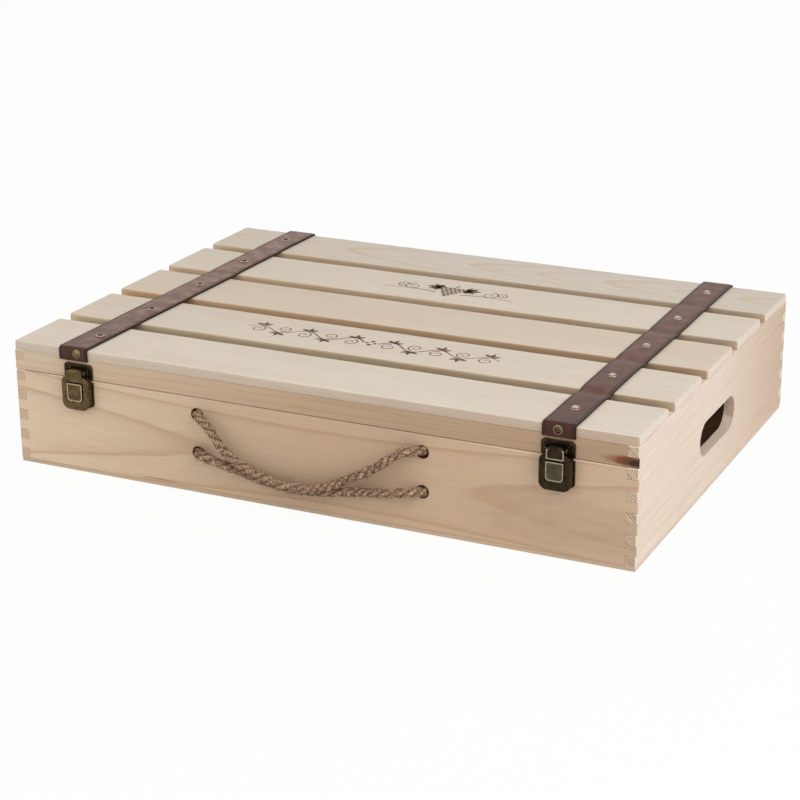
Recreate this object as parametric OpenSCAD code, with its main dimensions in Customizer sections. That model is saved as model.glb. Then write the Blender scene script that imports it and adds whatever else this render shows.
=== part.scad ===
// A flat wooden case for one layer of wine bottles. The box and its lid are one
// finger-jointed box sawn apart at the seam; the lid's top is five slats held by two
// riveted leather straps, with a hasp latch in front of each strap and a hinge behind.
// Millimetres. X runs to the right, the front faces -Y, and Z = 0 is the underside.

/* [Box] */
// Width of the box, left to right
box_w = 500; // [420:10:600]
// Depth of the box, front to back
box_d = 360; // [330:10:420]
// Thickness of the front, back and side boards
board_t = 8; // [7:0.5:10]
// Height of one finger of the corner joints
finger_h = 8; // [7.5:0.5:10]
// Fingers up the height of the box, below the seam
box_fingers = 9; // [9:2:13]
// Thickness of the bottom panel
bottom_t = 3; // [2.5:0.5:5]
// How far the bottom panel stops short of the boards' faces
bottom_inset = 0.5; // [0:0.25:1]

/* [Joints in the wood] */
// Slack between two fingers of a corner joint
finger_play = 0.16; // [0.08:0.04:0.32]
// Width of the sanded edge round the box
ease = 0.6; // [0.3:0.1:1]
// Gap at the seam between box and lid
seam_gap = 0.4; // [0.3:0.1:0.8]
// Slack round the end of a bottle rest in its groove
groove_play = 0.1; // [0.05:0.05:0.3]

/* [Lid] */
// Fingers up the height of the lid's rails
lid_fingers = 2; // [2:1:3]
// Thickness of the lid's slats
slat_t = 7; // [6:0.5:9]
// Gap between two slats
slat_gap = 13; // [8:1:18]
// Radius of a slat's worn edges
slat_r = 1.5; // [0.5:0.25:2.5]
// Radius of a slat's corners, seen from above
slat_corner = 2.5; // [1:0.5:5]

/* [Openings] */
// Length of the hand hole in each side
hand_l = 85; // [75:5:110]
// Height of the hand hole
hand_h = 27; // [22:1:32]
// Height of the hand hole's centre above the underside
hand_z = 45; // [40:1:50]
// Diameter of the four rope holes in the front
rope_hole_d = 10; // [9:0.5:12]
// Distance between the left and the right rope holes
rope_holes_w = 182; // [160:2:220]
// Height of the upper rope holes
rope_hole_high = 62; // [55:1:64]
// Height of the lower rope holes
rope_hole_low = 32; // [25:1:36]

/* [Bottle rests] */
// Largest diameter of a bottle's body
bottle_d = 77; // [72:1:80]
// Diameter of a bottle's neck
neck_d = 31; // [28:1:36]
// Least gap between two bottles
bottle_gap = 3; // [2:0.5:4]
// Slack between a bottle and its rest
rest_play = 1; // [0.5:0.5:2]
// Wood left below a bottle's body in its rest
rest_web = 6; // [5:0.5:9]
// Thickness of a rest
rest_t = 9; // [7:0.5:12]
// Height of the body rest
body_rest_h = 34; // [28:1:36]
// Height of the neck rest
neck_rest_h = 44; // [40:1:46]
// Distance from the back board to the middle of the body rest
body_rest_y = 95; // [80:5:105]
// Distance from the back board to the middle of the neck rest
neck_rest_y = 265; // [250:5:270]
// Depth of the grooves that hold the rests' ends
groove_d = 3; // [2:0.5:4]

/* [Straps] */
// Distance from the box's side to the middle of a strap, its latch and its hinge
strap_in = 57.5; // [45:0.5:75]
// Width of a leather strap
strap_w = 24.5; // [22:0.5:30]
// Thickness of a strap
strap_t = 2; // [1.5:0.25:3]
// Gap between a strap's end and the latch plate and hinge below it
strap_gap = 0.4; // [0.3:0.1:1]
// Distance from the top of the slats down to the rivet in a strap's end
rivet_down = 2.8; // [2.6:0.1:3.2]
// Diameter of a rivet's domed head
rivet_d = 7.3; // [6:0.1:8]
// Height of a rivet's dome
rivet_h = 2; // [1.5:0.1:2.5]
// Diameter of a rivet's shank
rivet_shank_d = 2; // [1.6:0.1:2.6]
// How far a rivet is driven into the wood
rivet_grip = 4.5; // [3:0.5:5]

/* [Latches] */
// Thickness of the latches' and hinges' sheet brass
leaf_t = 1; // [0.8:0.1:1.2]
// Width of the plates behind a latch
plate_w = 25; // [25:0.5:30]
// Radius of the outer corners of a latch's plates
plate_r = 3.2; // [2:0.2:4]
// Distance from a plate's edge to the edge of a screw's head
screw_edge = 0.8; // [0.6:0.1:1]
// Distance from the seam to the edge of a latch plate
plate_up = 1.2; // [1:0.1:1.5]
// Height of the hasp plate on the lid
hasp_plate_h = 11.4; // [11:0.2:13]
// Height of the keeper plate on the box
keeper_plate_h = 19.8; // [19:0.2:21]
// Height of the hinge pin above the seam
pin_up = 6.5; // [6.5:0.1:7]
// Distance of the pin in front of the box
pin_out = 4.2; // [4.2:0.1:4.6]
// Diameter of a latch's pin
latch_pin_d = 2; // [1.6:0.1:2.2]
// Slack all round a pin in the part that turns on it
pin_play = 0.06; // [0.03:0.01:0.1]
// Slack between the latch's cover and the parts behind it
latch_play = 0.3; // [0.3:0.05:0.5]
// Width of the cover that swings
cover_w = 23.4; // [22:0.2:24]
// Distance from the pin down to the cover's lower end
cover_drop = 29; // [29:0.5:31]
// Distance from the pin down to the cover's shoulders
shoulder_drop = 2.5; // [2.5:0.1:3]
// Radius of the cover's corners
cover_r = 6; // [4:0.5:7]
// Thickness of the cover's sheet
cover_t = 0.8; // [0.6:0.1:1]
// How far the cover's face stands in front of the box
cover_out = 6.7; // [6.7:0.1:7]
// Width of the tongue and of the keeper
tongue_w = 13; // [11:0.5:13]
// Height of the keeper that the cover drops over
keeper_h = 14; // [12:0.5:14]
// How far the keeper stands in front of the box
keeper_out = 7.8; // [7.4:0.1:8]
// Distance from the pin down to the keeper's lower end
keeper_drop = 22; // [21.5:0.1:22]
// Radius of the keeper's lower corners
keeper_r = 3; // [2:0.5:4]
// Width of the keeper's raised edge
keeper_rim = 0.9; // [0.6:0.1:1.2]
// Depth of the keeper's dished face
keeper_dish = 0.5; // [0.3:0.1:0.8]
// Slack beside the keeper in the cover's window
window_play = 0.3; // [0.3:0.05:0.5]
// Slack above and below the keeper, which the swing needs
window_swing = 0.8; // [0.7:0.1:1]
// Distance from the pin down to the tongue's lower end
tongue_drop = 6.6; // [6:0.1:6.8]
// Radius of the arch that the tongue's upper end is cut to
arch_r = 7.4; // [7.2:0.2:9]
// How far the top of that arch would stand above the roll
arch_over = 1.3; // [0.8:0.1:1.8]
// Depth of the tongue's dished face
tongue_dish = 0.3; // [0.2:0.05:0.4]
// Radius of the dish's upper corners
tongue_r = 2.5; // [1:0.1:3]
// Radius of the sheet rolled round the pin
roll_r = 2.9; // [2.6:0.05:2.9]
// Radius of the ears that hold the pin
ear_r = 2.2; // [1.9:0.1:2.2]
// Thickness of an ear
ear_t = 1.2; // [1:0.1:1.4]
// Gap between the roll and an ear
ear_gap = 0.6; // [0.4:0.1:0.8]

/* [Hinges] */
// Width of a hinge
hinge_w = 30; // [26:1:36]
// Height of one leaf from the pin
leaf_h = 12.4; // [11.8:0.2:12.8]
// Diameter of the knuckles
knuckle_d = 4.4; // [4:0.2:4.6]
// Distance of the hinge pin behind the box
hinge_out = 2.7; // [2.7:0.1:3]
// Diameter of the hinge pin
hinge_pin_d = 2; // [1.6:0.1:2.2]
// Gap between neighbouring knuckles
knuckle_gap = 0.3; // [0.2:0.05:0.5]
// Radius of a leaf's corners
hinge_r = 1.5; // [0.5:0.25:2]

/* [Fasteners] */
// Diameter of a screw's shank
screw_d = 2.2; // [1.8:0.1:2.6]
// Diameter of a screw's head
screw_head_d = 3.6; // [3.2:0.1:3.8]
// Height of a screw's domed head
screw_head_h = 0.9; // [0.7:0.1:1]
// How far a screw is driven into the wood
screw_grip = 5.5; // [4:0.5:6]
// Width of the slot in a screw's head
screw_slot = 0.6; // [0.4:0.1:0.8]
// Diameter of the small heads of a latch pin and a hinge pin
pin_head_d = 3; // [2.8:0.1:3.4]
// Thickness of those heads
pin_head_t = 0.4; // [0.3:0.1:0.6]
// Diameter of a bottom nail
nail_d = 1.8; // [1.4:0.1:2.2]
// Diameter of a nail's head
nail_head_d = 4.6; // [3.6:0.2:5.2]
// Thickness of a nail's head
nail_head_t = 0.6; // [0.4:0.1:0.8]
// How far a nail's head is sunk in the bottom panel
nail_sunk = 0.3; // [0.2:0.1:0.5]
// How far a nail is driven into the boards
nail_grip = 15; // [10:1:20]
// Distance from a corner of the box to the first nail
nail_in = 45; // [35:5:60]
// Usual distance between two nails
nail_pitch = 100; // [70:5:130]

/* [Rope handle] */
// Thickness of the rope
rope_d = 6.5; // [6:0.25:7.5]
// Diameter of the knots behind the board
knot_d = 17; // [15:0.5:19]
// Thickness of the knots
knot_t = 11; // [9:0.5:13]
// Radius of the knots' rounded edges
knot_r = 2.4; // [1.5:0.1:3]

/* [Hidden] */
$fn = 48;
left = -1;
right = 1;
slats = 5;
seam_z = bottom_t + box_fingers * finger_h;
rail_top_z = seam_z + lid_fingers * finger_h;
top_z = rail_top_z + slat_t;
front_y = -box_d / 2;
back_y = box_d / 2;
side_x = box_w / 2;
inner_w = box_w - 2 * board_t;
slat_w = (box_d - (slats - 1) * slat_gap) / slats;
hardware_x = side_x - strap_in;
pin_z = seam_z + pin_up;
past = 1;
hinge_z = seam_z + seam_gap / 2;
strap_end_z = max(seam_z + plate_up + hasp_plate_h, hinge_z + leaf_h) + strap_gap;
strap_drop = top_z - strap_end_z;
strap_fix_z = top_z - rivet_down;
bottles = floor(inner_w / (bottle_d + bottle_gap));
bottle_pitch = inner_w / bottles;
bottle_r = bottle_d / 2 + rest_play;
neck_r = neck_d / 2 + rest_play;
bottle_z = bottom_t + rest_web + bottle_r;
pin_bore_d = latch_pin_d + 2 * pin_play;
hinge_bore_d = hinge_pin_d + 2 * pin_play;
ear_x = tongue_w / 2 + ear_gap;
tongue_out = pin_out + roll_r;
screw_in = screw_head_d / 2 + screw_edge;
keeper_screw_x = (tongue_w + screw_head_d) / 2 + latch_play;
window_w = tongue_w + 2 * window_play;
// The middle of the rope, from the left knot across the front and back
rope_route = [
    [-91.5, -172, 62.5], [-91.5, -176.5, 62.5], [-89, -183, 62.5], [-84, -187.5, 61.5],
    [-77.5, -189.5, 58.5], [-70.5, -190.5, 50.5], [-64.5, -190, 42.5], [-54, -191.5, 36],
    [-43, -192, 31], [-21.5, -193, 25.5], [3, -193, 24], [19.5, -193, 28], [30.5, -192.5, 33],
    [50, -193, 43], [61.5, -191, 50], [67.5, -191.5, 54.5], [77, -190, 61.5], [83.5, -188, 63.5],
    [88.5, -184, 63.5], [91.5, -177.5, 63], [91.5, -166.5, 62.5], [91, -156, 56], [91, -152.5, 46.5],
    [91, -156, 37.5], [91.5, -166, 31.5], [92, -176, 31.5], [88.5, -183.5, 32.5], [81.5, -188, 32.5],
    [68.5, -190, 30.5], [46.5, -187, 26.5], [25.5, -188, 23.5], [0.5, -186, 19.5], [-28.5, -186.5, 21],
    [-54.5, -185, 25.5], [-70.5, -190.5, 32], [-81.5, -189, 33.5], [-88, -184.5, 33],
    [-91, -178, 32.5], [-91, -172, 32.5]];
rope_sides = 10;

function row_z(row) = bottom_t + row * finger_h;
function spread(span, pitch) =
    let (gaps = max(1, round(span / pitch))) [for (i = [0:gaps]) span * (i / gaps - 0.5)];
function bottle_x(i) = (i - (bottles - 1) / 2) * bottle_pitch;
function slat_y(i) = front_y + slat_w / 2 + (i - 1) * (slat_w + slat_gap);
function rest_y(from_back) = back_y - board_t - from_back;

nail_points = concat(
    [for (x = spread(box_w - 2 * nail_in, nail_pitch), y = [front_y + board_t / 2, back_y - board_t / 2])
        [x, y]],
    [for (y = spread(box_d - 2 * nail_in, nail_pitch), x = [-1, 1]) [x * (side_x - board_t / 2), y]],
    [for (i = [1:2:bottles - 1], y = [rest_y(body_rest_y), rest_y(neck_rest_y)])
        [bottle_x(i) - bottle_pitch / 2, y]]);

// ---- Shared shapes ----

// A rectangle about the middle with its corners sanded off
module eased_rect(w, h, e = ease) {
    polygon([
        [-w / 2 + e, -h / 2], [w / 2 - e, -h / 2], [w / 2, -h / 2 + e], [w / 2, h / 2 - e],
        [w / 2 - e, h / 2], [-w / 2 + e, h / 2], [-w / 2, h / 2 - e], [-w / 2, -h / 2 + e]]);
}

// A block on Z = 0 with every edge sanded
module eased_block(w, d, h, e = ease) {
    intersection() {
        linear_extrude(h) eased_rect(w, d, e);
        translate([0, 0, h / 2]) rotate([90, 0, 0]) linear_extrude(d, center = true) eased_rect(w, h, e);
        translate([0, 0, h / 2]) rotate([90, 0, 90]) linear_extrude(w, center = true) eased_rect(d, h, e);
    }
}

// A plate outline from Y = 0 up to h, with its two upper corners round
module round_top(w, h, r) {
    translate([-w / 2, 0]) square([w, h - r]);
    translate([-w / 2 + r, 0]) square([w - 2 * r, h]);
    for (s = [left, right]) translate([s * (w / 2 - r), h - r]) circle(r);
}

// The same outline hanging down from Y = h, with its two lower corners round
module round_foot(w, h, r) {
    translate([0, h]) mirror([0, 1]) round_top(w, h, r);
}

// A domed head standing on Z = 0
module dome(d, h) {
    ball_r = (d * d / 4 + h * h) / (2 * h);
    intersection() {
        translate([0, 0, h - ball_r]) sphere(ball_r);
        translate([-d, -d, 0]) cube([2 * d, 2 * d, h + past]);
    }
}

// A round shank from Z = 0 down, ending in a point
module shank(d, l) {
    translate([0, 0, -l + d]) cylinder(d = d, h = l - d);
    translate([0, 0, -l]) cylinder(d1 = d / 4, d2 = d, h = d);
}

// A slotted screw through a leaf that lies on Z = 0
module screw(turn) {
    translate([0, 0, leaf_t]) {
        difference() {
            dome(screw_head_d, screw_head_h);
            rotate(turn) translate([-screw_head_d, -screw_slot / 2, screw_head_h / 2])
                cube([2 * screw_head_d, screw_slot, past]);
        }
        shank(screw_d, leaf_t + screw_grip);
    }
}

module screw_bore() {
    translate([0, 0, leaf_t]) shank(screw_d, leaf_t + screw_grip);
}

// A pin along X through the origin, with a small head at each end
module headed_pin(d, l) {
    rotate([0, 90, 0]) {
        cylinder(d = d, h = l, center = true);
        for (s = [left, right]) translate([0, 0, s * (l + pin_head_t) / 2])
            cylinder(d = pin_head_d, h = pin_head_t, center = true);
    }
}

module bore_x(d, l) {
    rotate([0, 90, 0]) cylinder(d = d, h = l, center = true);
}

// Puts children on the front face: X across, Y up, Z out of the face
module on_front(x, z) {
    translate([x, front_y, z]) rotate([90, 0, 0]) children();
}

// Puts children on the back face: Y up, Z out of the face
module on_back(x, z) {
    translate([x, back_y, z]) rotate([90, 0, 180]) children();
}

// ---- Finger-jointed boards ----

slot_d = 2 * (board_t + finger_play);
slot_h = finger_h + finger_play;

// The sanded outline that a box or a lid was cut from, between two heights
module outline(z0, z1) {
    translate([0, 0, z0]) eased_block(box_w, box_d, z1 - z0);
}

// A front or back board; the side boards' fingers pass through its ends in the even rows
module cross_board(end, rows, z0, z1) {
    intersection() {
        outline(z0, z1);
        difference() {
            translate([0, end * (box_d - board_t) / 2, (z0 + z1) / 2])
                cube([box_w, board_t, z1 - z0], center = true);
            for (row = rows) if (row % 2 == 0)
                for (s = [left, right])
                    translate([s * side_x, end * (box_d - board_t) / 2, row_z(row + 0.5)])
                        cube([slot_d, board_t + past, slot_h], center = true);
        }
    }
}

// A side board; the front and back boards' fingers pass through its ends in the odd rows
module side_board(side, rows, z0, z1) {
    intersection() {
        outline(z0, z1);
        difference() {
            translate([side * (box_w - board_t) / 2, 0, (z0 + z1) / 2])
                cube([board_t, box_d, z1 - z0], center = true);
            for (row = rows) if (row % 2 == 1)
                for (end = [-1, 1])
                    translate([side * (box_w - board_t) / 2, end * back_y, row_z(row + 0.5)])
                        cube([board_t + past, slot_d, slot_h], center = true);
        }
    }
}

module box_cross_board(end) {
    cross_board(end, [0:box_fingers - 1], bottom_t, seam_z);
}

module box_side_board(side) {
    difference() {
        side_board(side, [0:box_fingers - 1], bottom_t, seam_z);
        hand_hole(side);
        for (rest = [[body_rest_y, body_rest_h], [neck_rest_y, neck_rest_h]])
            translate([side * (side_x - board_t), rest_y(rest[0]), bottom_t + rest[1] / 2])
                cube([2 * groove_d, rest_t + 2 * groove_play, rest[1] + 2 * groove_play], center = true);
        nail_bores();
    }
}

// A long hole with round ends through a side board
module hand_hole(side) {
    translate([side * (side_x - board_t / 2), 0, hand_z]) rotate([90, 0, 90])
        linear_extrude(board_t + 2 * past, center = true) {
            square([hand_l - hand_h, hand_h], center = true);
            for (s = [left, right]) translate([s * (hand_l - hand_h) / 2, 0]) circle(d = hand_h);
        }
}

module front_board() {
    color("tan") difference() {
        box_cross_board(-1);
        for (x = [-1, 1] * rope_holes_w / 2, z = [rope_hole_high, rope_hole_low])
            on_front(x, z) cylinder(d = rope_hole_d, h = 3 * board_t, center = true);
        for (side = [left, right]) at_keeper_screws(side) screw_bore();
        nail_bores();
    }
}

module back_board() {
    color("tan") difference() {
        box_cross_board(1);
        for (side = [left, right]) at_hinge_screws(side, -1) screw_bore();
        nail_bores();
    }
}

module left_board() {
    color("wheat") box_side_board(left);
}

module right_board() {
    color("wheat") box_side_board(right);
}

module bottom_panel() {
    color("burlywood") difference() {
        translate([0, 0, bottom_t / 2])
            cube([box_w - 2 * bottom_inset, box_d - 2 * bottom_inset, bottom_t], center = true);
        nail_bores();
    }
}

module at_nails() {
    for (p = nail_points) translate([p[0], p[1], nail_sunk]) rotate([180, 0, 0]) children();
}

// A flat-headed nail driven up from below
module nail() {
    translate([0, 0, -nail_head_t]) cylinder(d = nail_head_d, h = nail_head_t);
    shank(nail_d, bottom_t - nail_sunk + nail_grip);
}

module nail_bores() {
    at_nails() {
        nail();
        cylinder(d = nail_head_d, h = past);
    }
}

module bottom_nails() {
    color("silver") at_nails() nail();
}

// ---- Bottle rests ----

// A board across the box with a half-round seat for each bottle
module bottle_rest(from_back, height, seat_r) {
    translate([0, rest_y(from_back), 0]) rotate([90, 0, 0])
        linear_extrude(rest_t, center = true) difference() {
            translate([-inner_w / 2 - groove_d + groove_play, bottom_t])
                square([inner_w + 2 * (groove_d - groove_play), height]);
            for (i = [0:bottles - 1]) translate([bottle_x(i), bottle_z]) circle(seat_r);
        }
}

module body_rest() {
    color("burlywood") difference() {
        bottle_rest(body_rest_y, body_rest_h, bottle_r);
        nail_bores();
    }
}

module neck_rest() {
    color("burlywood") difference() {
        bottle_rest(neck_rest_y, neck_rest_h, neck_r);
        nail_bores();
    }
}

// ---- Lid ----

lid_rows = [box_fingers:box_fingers + lid_fingers - 1];

module lid_cross_rail(end) {
    cross_board(end, lid_rows, seam_z + seam_gap, rail_top_z);
}

module lid_side_rail(side) {
    side_board(side, lid_rows, seam_z + seam_gap, rail_top_z);
}

module lid_front_rail() {
    color("tan") difference() {
        lid_cross_rail(-1);
        for (side = [left, right]) at_hasp_screws(side) screw_bore();
    }
}

module lid_back_rail() {
    color("tan") difference() {
        lid_cross_rail(1);
        for (side = [left, right]) at_hinge_screws(side, 1) screw_bore();
    }
}

module lid_left_rail() {
    color("wheat") lid_side_rail(left);
}

module lid_right_rail() {
    color("wheat") lid_side_rail(right);
}

// A rectangle about the middle with four round corners
module rounded_rect(w, h, r) {
    square([w - 2 * r, h], center = true);
    square([w, h - 2 * r], center = true);
    for (x = [left, right] * (w / 2 - r), y = [-1, 1] * (h / 2 - r)) translate([x, y]) circle(r);
}

// A slat lies on the rails; its upper edges are worn round on all four sides
module slat(i) {
    color("antiquewhite") difference() {
        translate([0, slat_y(i), rail_top_z]) intersection() {
            rotate([90, 0, 0]) linear_extrude(slat_w, center = true) round_top(box_w, slat_t, slat_r);
            rotate([90, 0, 90]) linear_extrude(box_w, center = true) round_top(slat_w, slat_t, slat_r);
            linear_extrude(slat_t) rounded_rect(box_w, slat_w, slat_corner);
        }
        for (side = [left, right]) {
            at_top_rivet(side, i) rivet_bore();
            if (i == 1) at_edge_rivet(side, -1) rivet_bore();
            if (i == slats) at_edge_rivet(side, 1) rivet_bore();
        }
    }
}

// ---- Leather straps and their rivets ----

module strap(side) {
    color([0.38, 0.28, 0.25]) difference() {
        translate([side * hardware_x, 0, 0]) rotate([90, 0, 90])
            linear_extrude(strap_w, center = true) {
                translate([front_y, top_z]) square([box_d, strap_t]);
                for (end = [-1, 1]) intersection() {
                    translate([end * back_y, top_z]) {
                        circle(strap_t);
                        translate([-strap_t, -strap_drop]) square([2 * strap_t, strap_drop]);
                    }
                    translate([end * (back_y + strap_t), top_z])
                        square([2 * strap_t, 2 * strap_drop], center = true);
                }
            }
        at_rivets(side) rivet_bore();
    }
}

module at_top_rivet(side, i) {
    translate([side * hardware_x, slat_y(i), top_z + strap_t]) children();
}

module at_edge_rivet(side, end) {
    translate([side * hardware_x, end * (back_y + strap_t), strap_fix_z])
        rotate([-end * 90, 0, 0]) children();
}

module at_rivets(side) {
    for (i = [1:slats]) at_top_rivet(side, i) children();
    for (end = [-1, 1]) at_edge_rivet(side, end) children();
}

module rivet_bore() {
    shank(rivet_shank_d, strap_t + rivet_grip);
}

module rivets(side) {
    color([0.45, 0.37, 0.2]) at_rivets(side) {
        dome(rivet_d, rivet_h);
        shank(rivet_shank_d, strap_t + rivet_grip);
    }
}

// ---- Latches ----

module at_latch(side) {
    on_front(side * hardware_x, pin_z) children();
}

module at_hasp_screws(side) {
    for (s = [left, right]) at_latch(side)
        translate([s * (plate_w / 2 - screw_in), hasp_plate_top - screw_in, 0]) children();
}

module at_keeper_screws(side) {
    for (s = [left, right], y = [keeper_plate_top - screw_in, -keeper_drop - past])
        at_latch(side) translate([s * keeper_screw_x, y, 0]) children();
}

hasp_plate_top = plate_up + hasp_plate_h - pin_up;
keeper_plate_top = -plate_up - pin_up;

// The plate on the lid, with two ears that hold the pin
module hasp_plate(side) {
    color([0.42, 0.35, 0.22]) difference() {
        at_latch(side) difference() {
            union() {
                translate([0, hasp_plate_top - hasp_plate_h, 0]) linear_extrude(leaf_t)
                    round_top(plate_w, hasp_plate_h, plate_r);
                for (s = [left, right]) translate([s * (ear_x + ear_t / 2), 0, 0]) rotate([0, 90, 0])
                    linear_extrude(ear_t, center = true) {
                        translate([-pin_out, 0]) circle(ear_r);
                        translate([-pin_out, -ear_r]) square([pin_out - leaf_t / 2, 2 * ear_r]);
                    }
            }
            translate([0, 0, pin_out]) bore_x(latch_pin_d, plate_w);
        }
        at_hasp_screws(side) screw_bore();
    }
}

module hasp_pin(side) {
    color([0.5, 0.42, 0.26]) at_latch(side) translate([0, 0, pin_out])
        headed_pin(latch_pin_d, 2 * (ear_x + ear_t));
}

// The plate on the box, with the keeper that fills the cover's window
module keeper(side) {
    color([0.42, 0.35, 0.22]) difference() {
        at_latch(side) {
            translate([0, keeper_plate_top - keeper_plate_h, 0]) linear_extrude(leaf_t)
                round_foot(plate_w, keeper_plate_h, plate_r);
            difference() {
                translate([0, -keeper_drop, 0]) linear_extrude(keeper_out)
                    round_foot(tongue_w, keeper_h, keeper_r);
                translate([0, -keeper_drop + keeper_rim, keeper_out - keeper_dish]) linear_extrude(past)
                    round_foot(tongue_w - 2 * keeper_rim, keeper_h - 2 * keeper_rim, keeper_r - keeper_rim);
            }
        }
        at_keeper_screws(side) screw_bore();
    }
}

// The cover's outline from its shoulders down, drawn in by the given width all round
module cover_outline(inset) {
    h = cover_drop - shoulder_drop;
    translate([0, -cover_drop + h / 2]) rounded_rect(cover_w - 2 * inset, h - 2 * inset, cover_r - inset);
}

// The tongue and its roll, seen from the side: X up, Y out of the face
module tongue_side() {
    translate([0, pin_out]) circle(roll_r);
    translate([-tongue_drop, cover_out - cover_t]) square([tongue_drop, tongue_out - cover_out + cover_t]);
}

// The tongue's outline from the front, arched at its upper end
module tongue_front() {
    intersection() {
        translate([-tongue_w / 2, -tongue_drop]) square([tongue_w, tongue_drop + 2 * roll_r]);
        translate([0, roll_r + arch_over - arch_r]) circle(arch_r);
    }
}

// A bar that is rolled round the pin and has a dished face
module tongue() {
    difference() {
        intersection() {
            rotate([90, 0, 90]) linear_extrude(tongue_w, center = true) tongue_side();
            linear_extrude(tongue_out + past) tongue_front();
        }
        translate([0, -tongue_drop + keeper_rim, tongue_out - tongue_dish]) linear_extrude(past)
            round_top(tongue_w - 2 * keeper_rim, tongue_drop - keeper_rim + roll_r / 3, tongue_r);
    }
}

// The cover: a pressed sheet with a rim, a window for the keeper, and the tongue
module hasp(side) {
    rim_z = leaf_t + latch_play;
    color([0.4, 0.33, 0.2]) at_latch(side) difference() {
        union() {
            difference() {
                translate([0, 0, rim_z]) linear_extrude(cover_out - rim_z) cover_outline(0);
                linear_extrude(cover_out - cover_t) cover_outline(cover_t);
                translate([0, -keeper_drop - window_swing, 0]) linear_extrude(cover_out + past)
                    round_foot(window_w, keeper_h + 2 * window_swing, keeper_r + window_play);
            }
            tongue();
        }
        translate([0, 0, pin_out]) bore_x(pin_bore_d, tongue_w + past);
    }
}

module keeper_screws() {
    color("silver") for (side = [left, right]) at_keeper_screws(side) screw(30);
}

module hasp_plate_screws() {
    color("silver") for (side = [left, right]) at_hasp_screws(side) screw(60);
}

// ---- Hinges ----

module at_hinge(side) {
    on_back(side * hardware_x, hinge_z) children();
}

module at_hinge_screws(side, up) {
    for (s = [left, right]) at_hinge(side)
        translate([s * (hinge_w / 2 - screw_head_d), up * (leaf_h - screw_head_d), 0]) children();
}

// A leaf above (up = 1) or below (up = -1) the pin, with knuckles at the given places
module hinge_leaf(side, up, knuckles) {
    third = hinge_w / 3;
    color([0.5, 0.42, 0.26]) difference() {
        at_hinge(side) mirror([0, up > 0 ? 0 : 1, 0]) difference() {
            union() {
                translate([0, knuckle_d / 2, 0]) linear_extrude(leaf_t)
                    round_top(hinge_w, leaf_h - knuckle_d / 2, hinge_r);
                for (k = knuckles) translate([k * third, 0, 0]) {
                    l = third - knuckle_gap;
                    translate([-l / 2, 0, 0]) cube([l, knuckle_d / 2 + leaf_t, leaf_t]);
                    translate([0, 0, hinge_out]) bore_x(knuckle_d, l);
                }
            }
            translate([0, 0, hinge_out]) bore_x(hinge_bore_d, hinge_w + past);
        }
        at_hinge_screws(side, up) screw_bore();
    }
}

module hinge_pin(side) {
    color([0.5, 0.42, 0.26]) at_hinge(side) translate([0, 0, hinge_out])
        headed_pin(hinge_pin_d, hinge_w - knuckle_gap);
}

module hinge_screws(up) {
    color("silver") for (side = [left, right]) at_hinge_screws(side, up) screw(45);
}

// ---- Rope handle ----

function unit(v) = v / norm(v);
function square_to(n, along) = unit(n - (n * along) * along);

rope_ends = len(rope_route) - 1;
rope_along = [for (i = [0:rope_ends]) unit(rope_route[min(i + 1, rope_ends)] - rope_route[max(i - 1, 0)])];
rope_normals = [for (i = 0, n = square_to([0, 0, 1], rope_along[0]); i <= rope_ends;
    i = i + 1, n = i > rope_ends ? n : square_to(n, rope_along[i])) n];

// A tube swept along the rope's route, one ring at each point
module handle_rope() {
    rings = [for (i = [0:rope_ends], k = [0:rope_sides - 1])
        let (a = 360 * k / rope_sides, n = rope_normals[i])
        rope_route[i] + rope_d / 2 * (cos(a) * n + sin(a) * cross(rope_along[i], n))];
    skin = [for (i = [0:rope_ends - 1], k = [0:rope_sides - 1])
        let (a = i * rope_sides + k, b = i * rope_sides + (k + 1) % rope_sides)
        each [[a, a + rope_sides, b], [b, a + rope_sides, b + rope_sides]]];
    first = [for (k = [0:rope_sides - 1]) k];
    last = [for (k = [rope_sides - 1:-1:0]) rope_ends * rope_sides + k];
    color([0.68, 0.55, 0.42]) polyhedron(rings, concat(skin, [first, last]));
}

// A stopper knot behind a rope hole, its flat side on the board
module stopper_knot(z) {
    color([0.68, 0.55, 0.42]) translate([-rope_holes_w / 2, front_y + board_t, z]) rotate([-90, 0, 0])
        rotate_extrude() {
            square([knot_d / 2 - knot_r, knot_t]);
            translate([0, knot_r]) square([knot_d / 2, knot_t - 2 * knot_r]);
            for (y = [knot_r, knot_t - knot_r]) translate([knot_d / 2 - knot_r, y]) circle(knot_r);
        }
}

module rope_knots() {
    for (z = [rope_hole_high, rope_hole_low]) stopper_knot(z);
}

front_board();
back_board();
left_board();
right_board();
bottom_panel();
bottom_nails();
body_rest();
neck_rest();
keeper(left);  // left_keeper
keeper(right);  // right_keeper
keeper_screws();
hinge_leaf(left, -1, [-1, 1]);  // left_lower_hinge_leaf
hinge_leaf(right, -1, [-1, 1]);  // right_lower_hinge_leaf
hinge_pin(left);  // left_hinge_pin
hinge_pin(right);  // right_hinge_pin
hinge_screws(-1);  // lower_hinge_screws
handle_rope();
rope_knots();
lid_front_rail();
lid_back_rail();
lid_left_rail();
lid_right_rail();
slat(1);  // slat_1
slat(2);  // slat_2
slat(3);  // slat_3
slat(4);  // slat_4
slat(5);  // slat_5
strap(left);  // left_strap
strap(right);  // right_strap
rivets(left);  // left_strap_rivets
rivets(right);  // right_strap_rivets
hasp_plate(left);  // left_hasp_plate
hasp_plate(right);  // right_hasp_plate
hasp_pin(left);  // left_hasp_pin
hasp_pin(right);  // right_hasp_pin
hasp_plate_screws();
hinge_leaf(left, 1, [0]);  // left_upper_hinge_leaf
hinge_leaf(right, 1, [0]);  // right_upper_hinge_leaf
hinge_screws(1);  // upper_hinge_screws
hasp(left);  // left_hasp
hasp(right);  // right_hasp
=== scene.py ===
import math

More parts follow.
